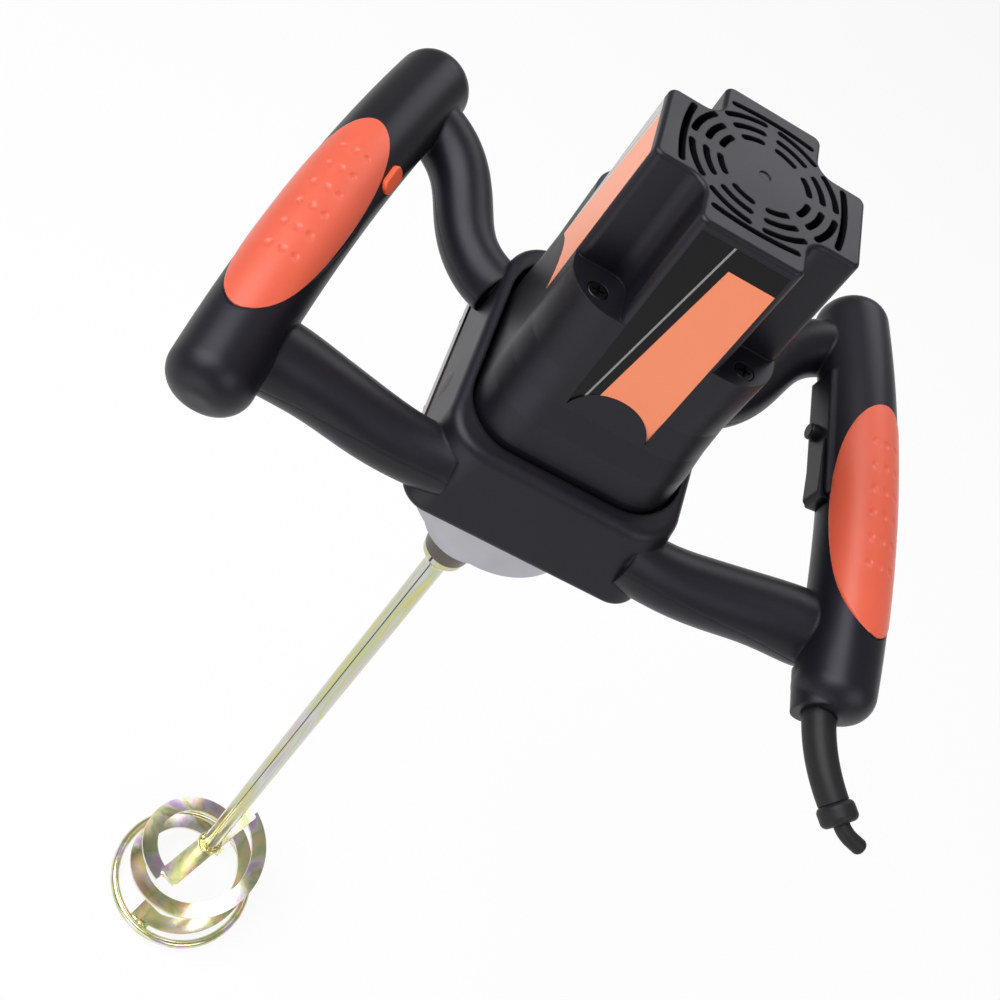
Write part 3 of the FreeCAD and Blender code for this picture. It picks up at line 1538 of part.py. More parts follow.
outside_right = handle_form(0.0, 0)
shell_right = outside_right.cut(handle_form(handle_wall, 1))
cover_left = mirrored(lower_handle(shell_right, outside_right))
cover_right = mirrored(cover_left).cut(on_cord(cord_boss(seat_gap))).cut(on_cord(cord_bore()))
pad_right = grip_pad()
screws_right = handle_screw_solids(0.0)

pieces = {
    "motor_cover": motor_cover(),
    "motor_cover_screws": motor_cover_screws(),
    "front_label": label_solid(0.0, label_thickness, label_corner_drop, label_arch, 0),
    "side_label": label_solid(0.0, label_thickness, side_label_length, side_label_arch, -90),
    "handle_frame": handle_frame(),
    "right_handle_cover": on_handle_plane(cover_right),
    "left_handle_cover": on_handle_plane(cover_left),
    "handle_cover_screws": Part.makeCompound([on_handle_plane(s)
                                              for s in screws_right + [mirrored(s)
                                                                       for s in screws_right]]),
    "handle_frame_screws": Part.makeCompound(frame_screw_solids(0.0)),
    "right_grip_pad": on_handle_plane(pad_right),
    "left_grip_pad": on_handle_plane(mirrored(pad_right)),
    "field_core": field_core(),
    "field_coils": field_coils(),
    "armature_top_bearing": bearing(top_bearing_radius, top_journal_radius + running_gap,
                                    top_bearing_low, top_bearing_high),
    "armature_low_bearing": bearing(low_bearing_radius, low_journal_radius + running_gap,
                                    low_bearing_low, low_bearing_high),
    "fan_baffle": fan_baffle(),
    "gearbox_cover": gearbox_cover(),
    "gearbox_screws": gearbox_screws(),
    "gear_case": gear_case(),
    "intermediate_top_bush": ring(idler_bush_radius, idler_radius + running_gap, case_top,
                                  case_top + idler_bush_length, idler_x, idler_y),
    "intermediate_low_bearing": bearing(idler_bearing_radius, idler_radius + running_gap,
                                        idler_bearing_low, case_floor, idler_x, idler_y),
    "spindle_top_bush": ring(spindle_bush_radius, spindle_top_radius + running_gap, case_top,
                             spindle_bush_high, 0, spindle_offset),
    "spindle_low_bearing": bearing(spindle_bearing_radius, spindle_radius + running_gap,
                                   spindle_bearing_low, spindle_bearing_low + spindle_bearing_width, 0,
                                   spindle_offset),
    "spindle_seal": ring(seal_radius, spindle_radius + running_gap, nose_end, nose_end + seal_width, 0,
                         spindle_offset),
    "trigger_switch": on_handle_plane(on_grip(trigger_switch())),
    "trigger_pin": on_handle_plane(on_grip(trigger_pin())),
    "speed_control_board": on_handle_plane(on_grip(speed_control_board())),
    "cord_clamp": on_handle_plane(cord_clamp()),
    "cord_sleeve": on_handle_plane(cord_sleeve()),
    "cord_stub": on_handle_plane(cord_stub()),
    "armature_shaft": armature_shaft(),
    "armature_core": armature_core(),
    "armature_windings": armature_windings(),
    "commutator": commutator(),
    "cooling_fan": cooling_fan(),
    "intermediate_shaft": intermediate_shaft(),
    "intermediate_gear": intermediate_gear(),
    "spindle": spindle(),
    "spindle_key": spindle_key(),
    "spindle_circlip": spindle_circlip(),
    "output_gear": output_gear(),
    "paddle_hub": paddle_hub(),
    "paddle_shaft": cylinder(paddle_shaft_radius, bar_low + bar_thickness,
                             spindle_end - paddle_flare_length, 0, spindle_offset),
    "paddle_crossbar": paddle_crossbar(),
    "paddle_ring": paddle_ring(),
    "paddle_ribbon_one": paddle_ribbon(0),
    "paddle_ribbon_two": paddle_ribbon(1),
    "trigger": on_handle_plane(on_grip(trigger())),
    "lock_knob": on_handle_plane(on_grip(lock_knob())),
    "thumb_button": on_handle_plane(mirrored(on_grip(thumb_button()))),
}
pieces.update(brush_solids())

os.makedirs("parts", exist_ok=True)
for name, shape in pieces.items():
    shape.exportStep("parts/" + name + ".step")
    print(name, len(shape.Solids), "solids", round(shape.Volume), "mm3",
          "valid" if shape.isValid() else "NOT VALID")
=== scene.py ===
# %% [markdown]
# # A mixing drill, dressed in Blender
# The solids of the drill come from its CAD frame: motor cover, handle frame, gear case, paddle and all that
# turns inside. This lesson gives them their real materials, adds the small worked pieces that a moulder, a
# welder and a plater leave on such a tool, and sets up the studio.

# %% Load the frame
import math

import bpy
from mathutils import Matrix, Vector


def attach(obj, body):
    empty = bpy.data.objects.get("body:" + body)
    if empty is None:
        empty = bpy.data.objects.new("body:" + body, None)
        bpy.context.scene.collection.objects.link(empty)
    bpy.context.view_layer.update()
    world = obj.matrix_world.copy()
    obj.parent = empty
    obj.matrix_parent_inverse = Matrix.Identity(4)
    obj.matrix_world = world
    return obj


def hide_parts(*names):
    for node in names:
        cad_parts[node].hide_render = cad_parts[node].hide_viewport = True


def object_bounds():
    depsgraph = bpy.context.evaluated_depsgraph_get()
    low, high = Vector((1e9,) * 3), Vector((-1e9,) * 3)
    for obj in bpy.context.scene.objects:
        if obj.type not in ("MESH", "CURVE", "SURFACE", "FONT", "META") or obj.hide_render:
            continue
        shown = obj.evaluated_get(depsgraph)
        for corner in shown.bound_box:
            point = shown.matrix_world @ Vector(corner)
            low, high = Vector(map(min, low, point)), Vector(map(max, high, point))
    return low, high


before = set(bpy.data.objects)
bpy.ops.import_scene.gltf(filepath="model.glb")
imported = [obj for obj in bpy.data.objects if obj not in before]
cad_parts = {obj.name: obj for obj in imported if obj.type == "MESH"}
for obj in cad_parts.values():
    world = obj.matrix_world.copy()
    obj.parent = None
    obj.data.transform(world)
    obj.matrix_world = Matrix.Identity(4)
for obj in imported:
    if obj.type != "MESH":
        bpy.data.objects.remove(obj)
cad_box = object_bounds()
print("CAD nodes:", len(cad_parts), "box:", [[round(c, 4) for c in corner] for corner in cad_box])

# %% [markdown]
# ## Two helpers for materials
# Colours are easiest to read off a photograph as sRGB hex values, but Blender's shaders want linear light,
# so one function turns the first into the second. The other adds a node with its settings, and either links
# or sets each of its inputs, so that a material below reads as a short recipe.

# %% Helpers for materials
MM = 0.001


def linear(code):
    """An sRGB hex colour as linear red, green, blue and alpha."""
    parts = [int(code[start:start + 2], 16) / 255 for start in (1, 3, 5)]
    return [part / 12.92 if part <= 0.04045 else ((part + 0.055) / 1.055) ** 2.4 for part in parts] + [1.0]


def add_node(tree, kind, settings, inputs):
    """A new node with its settings; each input gets a value, or a link where the value is a socket."""
    made = tree.nodes.new(kind)
    for name, value in settings.items():
        setattr(made, name, value)
    for name, value in inputs.items():
        if isinstance(value, bpy.types.NodeSocket):
            tree.links.new(value, made.inputs[name])
        else:
            made.inputs[name].default_value = value
    return made


def new_material(name, **values):
    """A material with its tree, its Principled shader set to these values, and the object coordinates."""
    material = bpy.data.materials.new(name)
    material.use_nodes = True
    tree = material.node_tree
    shader = tree.nodes["Principled BSDF"]
    for socket, value in values.items():
        shader.inputs[socket.replace("_", " ")].default_value = value
    place = add_node(tree, "ShaderNodeTexCoord", {}, {}).outputs["Object"]
    return material, tree, shader, place


print("sRGB #808080 is linear", [round(part, 3) for part in linear("#808080")[:3]])

# %% [markdown]
# ## Glass-filled nylon, moulded in a spark-eroded tool
# The motor cover and the handles are one charcoal plastic. Its mould was eaten out by sparks, which leaves
# a fine dull grain, so highlights are broad and soft. Two noises do it: a fine one for the grain as bump,
# and a wide one that makes the sheen a little uneven, as where hands have polished it. The real grain is
# about 0.2 mm and would not show, so it is drawn at 0.7 mm. No moulded edge is sharp: a bevel node rounds
# each by 0.7 mm for the light alone, which draws the thin bright line along the channels of the motor
# cover. The handles have larger radii where arm and collar run into each other, so they take a copy with
# 2.2 mm.

# %% Charcoal nylon
NYLON_PATCH, NYLON_GRAIN, NYLON_EDGE, HANDLE_EDGE = 45 * MM, 0.7 * MM, 0.7 * MM, 2.2 * MM
nylon, tree, shader, place = new_material("glass_filled_nylon_moulded", Specular_IOR_Level=0.31,
                                          Specular_Tint=linear("#f3f1ff"))
patch = add_node(tree, "ShaderNodeTexNoise", {}, {"Vector": place, "Scale": 1 / NYLON_PATCH, "Detail": 3.0})
shade = add_node(tree, "ShaderNodeValToRGB", {}, {"Fac": patch.outputs["Fac"]})
shade.color_ramp.elements[0].color = linear("#0d0c12")
shade.color_ramp.elements[1].color = linear("#16151c")
sheen = add_node(tree, "ShaderNodeMapRange", {},
                 {"Value": patch.outputs["Fac"], "To Min": 0.32, "To Max": 0.46})
grain = add_node(tree, "ShaderNodeTexNoise", {}, {"Vector": place, "Scale": 1 / NYLON_GRAIN, "Detail": 2.0})
soft = add_node(tree, "ShaderNodeBevel", {"samples": 4}, {"Radius": NYLON_EDGE})
bump = add_node(tree, "ShaderNodeBump", {}, {"Height": grain.outputs["Fac"], "Strength": 0.14,
                                             "Distance": 0.15 * MM, "Normal": soft.outputs["Normal"]})
tree.links.new(shade.outputs["Color"], shader.inputs["Base Color"])
tree.links.new(sheen.outputs["Result"], shader.inputs["Roughness"])
tree.links.new(bump.outputs["Normal"], shader.inputs["Normal"])
handle_nylon = nylon.copy()
handle_nylon.name = "glass_filled_nylon_moulded_soft_edges"
handle_nylon.node_tree.nodes["Bevel"].inputs["Radius"].default_value = HANDLE_EDGE
print("made", nylon.name, "and", handle_nylon.name, "with a grain of", NYLON_GRAIN / MM, "mm")

# %% [markdown]
# ## Soft elastomer, moulded over the grips
# The orange pads are a rubbery plastic, moulded straight onto the nylon. It scatters light at its surface,
# so its highlight is wide and milky and its shade stays warm. A fine stipple keeps it from looking like
# paint.

# %% Orange elastomer
PAD_PATCH, PAD_STIPPLE, PAD_EDGE = 30 * MM, 0.6 * MM, 0.5 * MM
elastomer, tree, shader, place = new_material("thermoplastic_elastomer_overmoulded", Specular_IOR_Level=0.6,
                                              Sheen_Weight=0.22, Sheen_Roughness=0.40)
patch = add_node(tree, "ShaderNodeTexNoise", {}, {"Vector": place, "Scale": 1 / PAD_PATCH, "Detail": 3.0})
shade = add_node(tree, "ShaderNodeValToRGB", {}, {"Fac": patch.outputs["Fac"]})
shade.color_ramp.elements[0].color = linear("#ca4c2f")
shade.color_ramp.elements[1].color = linear("#d4593e")
grain = add_node(tree, "ShaderNodeTexNoise", {}, {"Vector": place, "Scale": 1 / PAD_STIPPLE, "Detail": 2.0})
soft = add_node(tree, "ShaderNodeBevel", {"samples": 4}, {"Radius": PAD_EDGE})
bump = add_node(tree, "ShaderNodeBump", {}, {"Height": grain.outputs["Fac"], "Strength": 0.12,
                                             "Distance": 0.12 * MM, "Normal": soft.outputs["Normal"]})
dull = add_node(tree, "ShaderNodeMapRange", {},
                {"Value": grain.outputs["Fac"], "To Min": 0.36, "To Max": 0.50})
tree.links.new(shade.outputs["Color"], shader.inputs["Base Color"])
tree.links.new(dull.outputs["Result"], shader.inputs["Roughness"])
tree.links.new(bump.outputs["Normal"], shader.inputs["Normal"])
print("made", elastomer.name)

# %% [markdown]
# ## Aluminium, die cast and tumbled
# The gear case leaves its die with a faint skin of flow marks and is then tumbled, which makes it evenly
# pale and satin. One noise gives the flow, a fine one the tumbled grain of about 0.5 mm. Every face that
# looks up gets a painted shade of dark brown-grey, so the way a face looks picks that colour.

# %% Cast aluminium
CAST_FLOW, TUMBLED_GRAIN, LOOKS_UP = 18 * MM, 0.5 * MM, 0.7
aluminium, tree, shader, place = new_material("aluminium_die_cast_tumbled", Metallic=1.0)
flow = add_node(tree, "ShaderNodeTexNoise", {}, {"Vector": place, "Scale": 1 / CAST_FLOW, "Detail": 5.0})
shade = add_node(tree, "ShaderNodeValToRGB", {}, {"Fac": flow.outputs["Fac"]})
shade.color_ramp.elements[0].color = linear("#a6a6ad")
shade.color_ramp.elements[1].color = linear("#bdbdc3")
# painted shade: each face that looks up is given dark brown-grey in place of the cast colour
facing = add_node(tree, "ShaderNodeSeparateXYZ", {}, {"Vector": place.node.outputs["Normal"]})
painted_shade_up = add_node(tree, "ShaderNodeMath", {"operation": "GREATER_THAN"},
                  {0: facing.outputs["Z"], 1: LOOKS_UP})
shade_painted_colour = add_node(tree, "ShaderNodeMix", {"data_type": "RGBA"},
                  {"Factor": painted_shade_up.outputs[0], 6: shade.outputs["Color"], 7: linear("#4d4442")})
dull = add_node(tree, "ShaderNodeMapRange", {},
                {"Value": flow.outputs["Fac"], "To Min": 0.38, "To Max": 0.52})
grain = add_node(tree, "ShaderNodeTexNoise", {}, {"Vector": place, "Scale": 1 / TUMBLED_GRAIN, "Detail": 2.0})
bump = add_node(tree, "ShaderNodeBump", {},
                {"Height": grain.outputs["Fac"], "Strength": 0.2, "Distance": 0.1 * MM})
tree.links.new(shade_painted_colour.outputs[2], shader.inputs["Base Color"])
tree.links.new(dull.outputs["Result"], shader.inputs["Roughness"])
tree.links.new(bump.outputs["Normal"], shader.inputs["Normal"])
print("made", aluminium.name)

# %% [markdown]
# ## Steel, zinc plated and yellow passivated
# The paddle is plated with zinc and dipped in chromate. The film is a fraction of a micrometre thick, so it
# shows colours as oil on water does: silver drifts to straw, pale green, pink and lilac. The shaft is drawn
# rod and the film follows the marks of the die, so its noise is drawn out along the axis. The ribbons are
# rolled strip and their tints wander over a few centimetres. One recipe serves both, with the size of the
# drift and its stretch in a list; the steel under the film stays a clear mirror.

# %% Yellow zinc
TINT_SPOTS = (0.28, 0.36, 0.42, 0.48, 0.53, 0.58, 0.64, 0.72)
plated = {}
rod_tints = ("#b9b4c0", "#ccbcc0", "#c9cbcc", "#bcc4a4", "#d0c98a", "#c3c290", "#c8cac8", "#c8bcc0")
strip_tints = ("#c2b8de", "#ebcbdb", "#e9e7ea", "#e6deb4", "#c2d0a4", "#e8d8a4", "#ecd0c8", "#d0c5de")
for name, drift_mm, stretch, mark_mm, tints in (
        ("steel_rod_zinc_plated_yellow_passivated", 7.0, 0.06, 1.2, rod_tints),
        ("steel_strip_zinc_plated_yellow_passivated", 30.0, 0.6, 5.0, strip_tints)):
    zinc, tree, shader, place = new_material(name, Metallic=1.0)
    drawn = add_node(tree, "ShaderNodeMapping", {}, {"Vector": place, "Scale": (1.0, 1.0, stretch)})
    drift = add_node(tree, "ShaderNodeTexNoise", {},
                     {"Vector": drawn.outputs["Vector"], "Scale": 1 / (drift_mm * MM), "Detail": 1.5,
                      "Distortion": 0.5})
    tint = add_node(tree, "ShaderNodeValToRGB", {}, {"Fac": drift.outputs["Fac"]})
    for spot, code in zip(TINT_SPOTS, tints):
        stop = tint.color_ramp.elements.new(spot)
        stop.color = linear(code)
    tint.color_ramp.elements.remove(tint.color_ramp.elements[0])
    tint.color_ramp.elements.remove(tint.color_ramp.elements[-1])
    streak = add_node(tree, "ShaderNodeTexNoise", {},
                      {"Vector": drawn.outputs["Vector"], "Scale": 1 / (mark_mm * MM), "Detail": 3.0})
    dull = add_node(tree, "ShaderNodeMapRange", {},
                    {"Value": streak.outputs["Fac"], "To Min": 0.12, "To Max": 0.28})
    bump = add_node(tree, "ShaderNodeBump", {},
                    {"Height": streak.outputs["Fac"], "Strength": 0.05, "Distance": 0.2 * MM})
    tree.links.new(tint.outputs["Color"], shader.inputs["Base Color"])
    tree.links.new(dull.outputs["Result"], shader.inputs["Roughness"])
    tree.links.new(bump.outputs["Normal"], shader.inputs["Normal"])
    plated[name] = zinc
rod_zinc, strip_zinc = plated.values()
print("made", rod_zinc.name, "and", strip_zinc.name)

# %% [markdown]
# ## A painted reflection along the shaft
# One thin dark line is painted along the whole bar as a reflection. Seen down the axis it stands at one
# angle, so an arctangent of the two coordinates round the spindle is compared with that angle.

# %% Painted reflection line
SPINDLE_Y = 20.0
PAINTED_REFLECTION_TURN, PAINTED_REFLECTION_HALF = math.radians(-120.0), 0.055
tree = rod_zinc.node_tree
shader = tree.nodes["Principled BSDF"]
film = shader.inputs["Base Color"].links[0].from_socket
place = add_node(tree, "ShaderNodeTexCoord", {}, {}).outputs["Object"]
split = add_node(tree, "ShaderNodeSeparateXYZ", {}, {"Vector": place})
behind = add_node(tree, "ShaderNodeMath", {"operation": "SUBTRACT"},
                  {0: split.outputs["Y"], 1: SPINDLE_Y * MM})
turn = add_node(tree, "ShaderNodeMath", {"operation": "ARCTAN2"},
                {0: behind.outputs[0], 1: split.outputs["X"]})
# painted reflection: a thin dark line at one angle round the shaft, mixed over the plated colour
dark_reflection_line = add_node(tree, "ShaderNodeMath", {"operation": "COMPARE"},
                 {0: turn.outputs[0], 1: PAINTED_REFLECTION_TURN, 2: PAINTED_REFLECTION_HALF})
both = add_node(tree, "ShaderNodeMix", {"data_type": "RGBA"},
                {"Factor": dark_reflection_line.outputs[0], 6: film, 7: linear("#57502a")})
tree.links.new(both.outputs[2], shader.inputs["Base Color"])
print("painted reflection line drawn on", rod_zinc.name)

# %% [markdown]
# ## The plainer finishes
# Rubber, acetal, oiled steel and the parts of the motor each need one noise and one bump. What sets them
# apart is the colour, the roughness and the size of the grain, so the same few nodes are laid out once and
# the values come from a list: name, two close colours, metallic, least and greatest roughness, grain in
# millimetres.

# %% Plainer finishes
finishes = {}
for name, dark, light, metallic, least, most, grain_mm in (
        ("soft_pvc_extruded_black", "#111113", "#1a1a1d", 0.0, 0.42, 0.60, 1.2),
        ("acetal_moulded_black", "#0e0e10", "#161618", 0.0, 0.30, 0.42, 0.9),
        ("abs_moulded_orange", "#e4552f", "#ee6440", 0.0, 0.32, 0.42, 0.9),
        ("steel_turned_oiled", "#57514c", "#6b645e", 1.0, 0.28, 0.42, 1.5),
        ("steel_weld_bead_yellow_passivated", "#d6c274", "#f0e6b4", 1.0, 0.14, 0.32, 1.8),
        ("steel_ground_gear_blank", "#8d8f93", "#a5a7aa", 1.0, 0.26, 0.40, 0.8),
        ("steel_blackened_screw", "#2a2a2c", "#3b3b3e", 1.0, 0.34, 0.48, 0.8),
        ("steel_sheet_stacked_varnished", "#4a4a4e", "#5d5d61", 1.0, 0.40, 0.60, 0.5),
        ("copper_wire_enamelled", "#9a5a34", "#b8743f", 1.0, 0.26, 0.45, 1.0),
        ("bronze_sintered", "#a5834b", "#b8965a", 1.0, 0.40, 0.55, 0.4),
        ("graphite_pressed", "#26262a", "#333338", 0.0, 0.50, 0.65, 0.6),
        ("glass_board_lacquered", "#1d5a34", "#2b7044", 0.0, 0.25, 0.40, 1.5)):
    finish, tree, shader, place = new_material(name, Metallic=metallic, Specular_IOR_Level=0.3)
    grain = add_node(tree, "ShaderNodeTexNoise", {},
                     {"Vector": place, "Scale": 1 / (grain_mm * MM), "Detail": 3.0})
    shade = add_node(tree, "ShaderNodeValToRGB", {}, {"Fac": grain.outputs["Fac"]})
    shade.color_ramp.elements[0].color = linear(dark)
    shade.color_ramp.elements[1].color = linear(light)
    dull = add_node(tree, "ShaderNodeMapRange", {},
                    {"Value": grain.outputs["Fac"], "To Min": least, "To Max": most})
    bump = add_node(tree, "ShaderNodeBump", {},
                    {"Height": grain.outputs["Fac"], "Strength": 0.12, "Distance": 0.1 * MM})
    tree.links.new(shade.outputs["Color"], shader.inputs["Base Color"])
    tree.links.new(dull.outputs["Result"], shader.inputs["Roughness"])
    tree.links.new(bump.outputs["Normal"], shader.inputs["Normal"])
    finishes[name] = finish
print("made", len(finishes), "plainer finishes")

# %% [markdown]
# ## Polyester film, screen printed
# The two labels are thin printed film. The front one is black and the side one grey; each has an orange
# field, a plain slanted block with two fine lines beside it. Straight edges in a material are cheap: a
# straight line is a sum of two coordinates that is compared with a number, and products of such tests cut
# out a field.

# %% Printed film
LINE_STEP, LINE_HALF, LINES_AWAY, LINES_HALF, FILM_WEAVE = 2.2 * MM, 0.45 * MM, 4.4 * MM, 2.8 * MM, 1.4 * MM


def printed_film(name, ground, ink, line, across, flip, middle, top, slant):
    """Film with a slanted ink field below a level and two fine lines beside it; across is its width's axis."""
    film, tree, shader, place = new_material(name, Roughness=0.26, Specular_IOR_Level=0.2)
    split = add_node(tree, "ShaderNodeSeparateXYZ", {}, {"Vector": place})
    level = split.outputs["Z"]
    side = add_node(tree, "ShaderNodeMath", {"operation": "MULTIPLY"}, {0: split.outputs[across], 1: flip})
    lean = add_node(tree, "ShaderNodeMath", {"operation": "MULTIPLY_ADD"},
                    {0: level, 1: slant, 2: side.outputs[0]})
    right = add_node(tree, "ShaderNodeMath", {"operation": "GREATER_THAN"}, {0: lean.outputs[0], 1: middle})
    below = add_node(tree, "ShaderNodeMath", {"operation": "LESS_THAN"}, {0: level, 1: top})
    field = add_node(tree, "ShaderNodeMath", {"operation": "MULTIPLY"},
                     {0: right.outputs[0], 1: below.outputs[0]})
    comb = add_node(tree, "ShaderNodeMath", {"operation": "PINGPONG"}, {0: lean.outputs[0], 1: LINE_STEP})
    fine = add_node(tree, "ShaderNodeMath", {"operation": "LESS_THAN"}, {0: comb.outputs[0], 1: LINE_HALF})
    near = add_node(tree, "ShaderNodeMath", {"operation": "COMPARE"},
                    {0: lean.outputs[0], 1: middle - LINES_AWAY, 2: LINES_HALF})
    lines = add_node(tree, "ShaderNodeMath", {"operation": "MULTIPLY"},
                     {0: fine.outputs[0], 1: near.outputs[0]})
    base = add_node(tree, "ShaderNodeMix", {"data_type": "RGBA"},
                    {"Factor": field.outputs[0], 6: linear(ground), 7: linear(ink)})
    both = add_node(tree, "ShaderNodeMix", {"data_type": "RGBA"},
                    {"Factor": lines.outputs[0], 6: base.outputs[2], 7: linear(line)})
    weave = add_node(tree, "ShaderNodeTexNoise", {},
                     {"Vector": place, "Scale": 1 / FILM_WEAVE, "Detail": 2.0})
    bump = add_node(tree, "ShaderNodeBump", {},
                    {"Height": weave.outputs["Fac"], "Strength": 0.05, "Distance": 0.1 * MM})
    tree.links.new(both.outputs[2], shader.inputs["Base Color"])
    tree.links.new(bump.outputs["Normal"], shader.inputs["Normal"])
    return film


front_film = printed_film("polyester_film_printed_front", "#070707", "#ef8c66", "#8a8a88",
                          across="X", flip=1.0, middle=0.0, top=-14.0 * MM, slant=-0.10)
side_film = printed_film("polyester_film_printed_side", "#b9b4b2", "#ef8d64", "#8a8583",
                         across="Y", flip=-1.0, middle=-6.0 * MM, top=-4.0 * MM, slant=-0.16)
print("made", front_film.name, "and", side_film.name)

# %% [markdown]
# ## Dress the CAD nodes
# Each node of the frame keeps its mesh and its place; only the material in its slot changes. A dictionary
# from finish to nodes is easy to read through and to check for a node that was forgotten.

# %% Dress the nodes
dressed = {
    nylon: ["motor_cover", "trigger"],
    handle_nylon: ["handle_frame", "right_handle_cover", "left_handle_cover"],
    elastomer: ["right_grip_pad", "left_grip_pad"],
    aluminium: ["gear_case", "gearbox_cover"],
    rod_zinc: ["paddle_hub", "paddle_shaft"],
    strip_zinc: ["paddle_crossbar", "paddle_ring", "paddle_ribbon_one", "paddle_ribbon_two"],
    front_film: ["front_label"],
    side_film: ["side_label"],
    finishes["soft_pvc_extruded_black"]: ["cord_sleeve", "cord_stub", "spindle_seal"],
    finishes["acetal_moulded_black"]: ["lock_knob", "trigger_switch", "cooling_fan", "fan_baffle",
                                       "cord_clamp"],
    finishes["abs_moulded_orange"]: ["thumb_button"],
    finishes["steel_turned_oiled"]: ["spindle"],
    finishes["steel_ground_gear_blank"]: ["armature_shaft", "intermediate_shaft", "intermediate_gear",
                                          "output_gear", "spindle_key", "spindle_circlip", "trigger_pin",
                                          "armature_top_bearing", "armature_low_bearing",
                                          "intermediate_low_bearing", "spindle_low_bearing", "brush_springs"],
    finishes["steel_blackened_screw"]: ["motor_cover_screws", "handle_cover_screws", "handle_frame_screws",
                                        "gearbox_screws"],
    finishes["steel_sheet_stacked_varnished"]: ["field_core", "armature_core"],
    finishes["copper_wire_enamelled"]: ["field_coils", "armature_windings", "commutator"],
    finishes["bronze_sintered"]: ["intermediate_top_bush", "spindle_top_bush", "brush_holders"],
    finishes["graphite_pressed"]: ["carbon_brushes"],
    finishes["glass_board_lacquered"]: ["speed_control_board"],
}
for finish, names in dressed.items():
    for name in names:
        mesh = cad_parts[name].data
        mesh.materials.clear()
        mesh.materials.append(finish)
bare = set(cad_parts) - {name for names in dressed.values() for name in names}
print("dressed", sum(len(names) for names in dressed.values()), "nodes, bare:", sorted(bare))

# %% [markdown]
# ## Dimples in the grip pads
# The pads have rows of shallow round dimples, which let sweat escape and stop the thumb from sliding. In
# the mould they are small balls, and here too: a row of balls is set over the skin of the grip, so deep
# that each cuts a dimple 4.3 mm wide and 0.55 mm deep, and a boolean takes them out of a copy of the pad.
# Texture bump would be quicker, but from the side it would leave the outline smooth and the rims without
# light. The rubber of the real pads also laps further round the grip than the solids do, and more on the
# trigger side, with fuller ends. So the copy is first let out: each of its points turns about the grip
# until the rim, which is an ellipse cut straight down, has become an ellipse in degrees.

# %% Grip pads
GRIP_X, GRIP_V, HANDLE_Z = 141.2, 17.0, -134.1
TILT, SPLAY, BOW_SIDE = math.radians(9.15), math.radians(7.7), math.radians(37.0)
BOW_SPAN = 1600.0
PAD_RADIUS, DIMPLE_HALF, DIMPLE_DEPTH = 19.45, 2.15, 0.55
BALL = (DIMPLE_HALF ** 2 + DIMPLE_DEPTH ** 2) / (2 * DIMPLE_DEPTH)
DIMPLE_FIRST, DIMPLE_STEP, DIMPLE_COUNT, DIMPLE_ROWS = 19.0, -13.2, 6, (-10.0, 8.3, 26.6)
PAD_MIDDLE, PAD_HALF_LENGTH, PAD_HALF_WIDTH, PAD_LEAN = -19.5, 62.0, 18.2, 12.0
OUTER_LAP, INNER_LAP, LEAST_SQUARE = 70.0, {1: 86.0, -1: 69.0}, 0.001


def over_grip(side, along, turn, radius):
    """A point by a grip (side 1 right, -1 left): mm along it, degrees round it, mm from its bowed axis."""
    sag = along ** 2 / BOW_SPAN
    across = radius * math.sin(math.radians(turn)) - sag * math.sin(BOW_SIDE)
    rise = radius * math.cos(math.radians(turn)) - sag * math.cos(BOW_SIDE)
    x = GRIP_X + across * math.cos(SPLAY) - along * math.sin(SPLAY)
    v = GRIP_V + across * math.sin(SPLAY) + along * math.cos(SPLAY)
    y = v * math.cos(TILT) - rise * math.sin(TILT)
    z = HANDLE_Z + v * math.sin(TILT) + rise * math.cos(TILT)
    return Vector((side * x, y, z)) * MM


def beside_grip(side, point):
    """The way back from over_grip: mm along a grip, degrees round it and mm from its bowed axis."""
    x, y, z = point / MM
    v = y * math.cos(TILT) + (z - HANDLE_Z) * math.sin(TILT) - GRIP_V
    out = side * x - GRIP_X
    along = v * math.cos(SPLAY) - out * math.sin(SPLAY)
    sag = along ** 2 / BOW_SPAN
    across = out * math.cos(SPLAY) + v * math.sin(SPLAY) + sag * math.sin(BOW_SIDE)
    rise = (z - HANDLE_Z) * math.cos(TILT) - y * math.sin(TILT) + sag * math.cos(BOW_SIDE)
    return along, math.degrees(math.atan2(across, rise)), math.hypot(across, rise)


def let_out(pad, side):
    """Turns the points of a pad about its grip, so that its rim becomes an ellipse in degrees."""
    for vertex in pad.data.vertices:
        along, turn, radius = beside_grip(side, vertex.co)
        fullness = math.sqrt(max(1 - ((along - PAD_MIDDLE) / PAD_HALF_LENGTH) ** 2, LEAST_SQUARE))
        plain = math.degrees(math.asin(PAD_HALF_WIDTH * fullness / PAD_RADIUS))
        swing = turn - PAD_LEAN
        lap = fullness * (OUTER_LAP if swing > 0 else INNER_LAP[side])
        swing = math.copysign(min(abs(swing) * lap / plain, lap), swing)
        vertex.co = over_grip(side, along, PAD_LEAN + swing, radius)


def pick(*pieces):
    """Only these objects selected, the first one active."""
    bpy.ops.object.select_all(action="DESELECT")
    for piece in pieces:
        piece.select_set(True)
    bpy.context.view_layer.objects.active = pieces[0]


def smooth(piece, degrees):
    """Doubled points merged, normals outward, and smooth light up to this angle between faces."""
    pick(piece)
    bpy.ops.object.mode_set(mode="EDIT")
    bpy.ops.mesh.select_all(action="SELECT")
    bpy.ops.mesh.remove_doubles(threshold=0.002 * MM)
    bpy.ops.mesh.normals_make_consistent(inside=False)
    bpy.ops.object.mode_set(mode="OBJECT")
    bpy.ops.object.shade_smooth_by_angle(angle=math.radians(degrees))


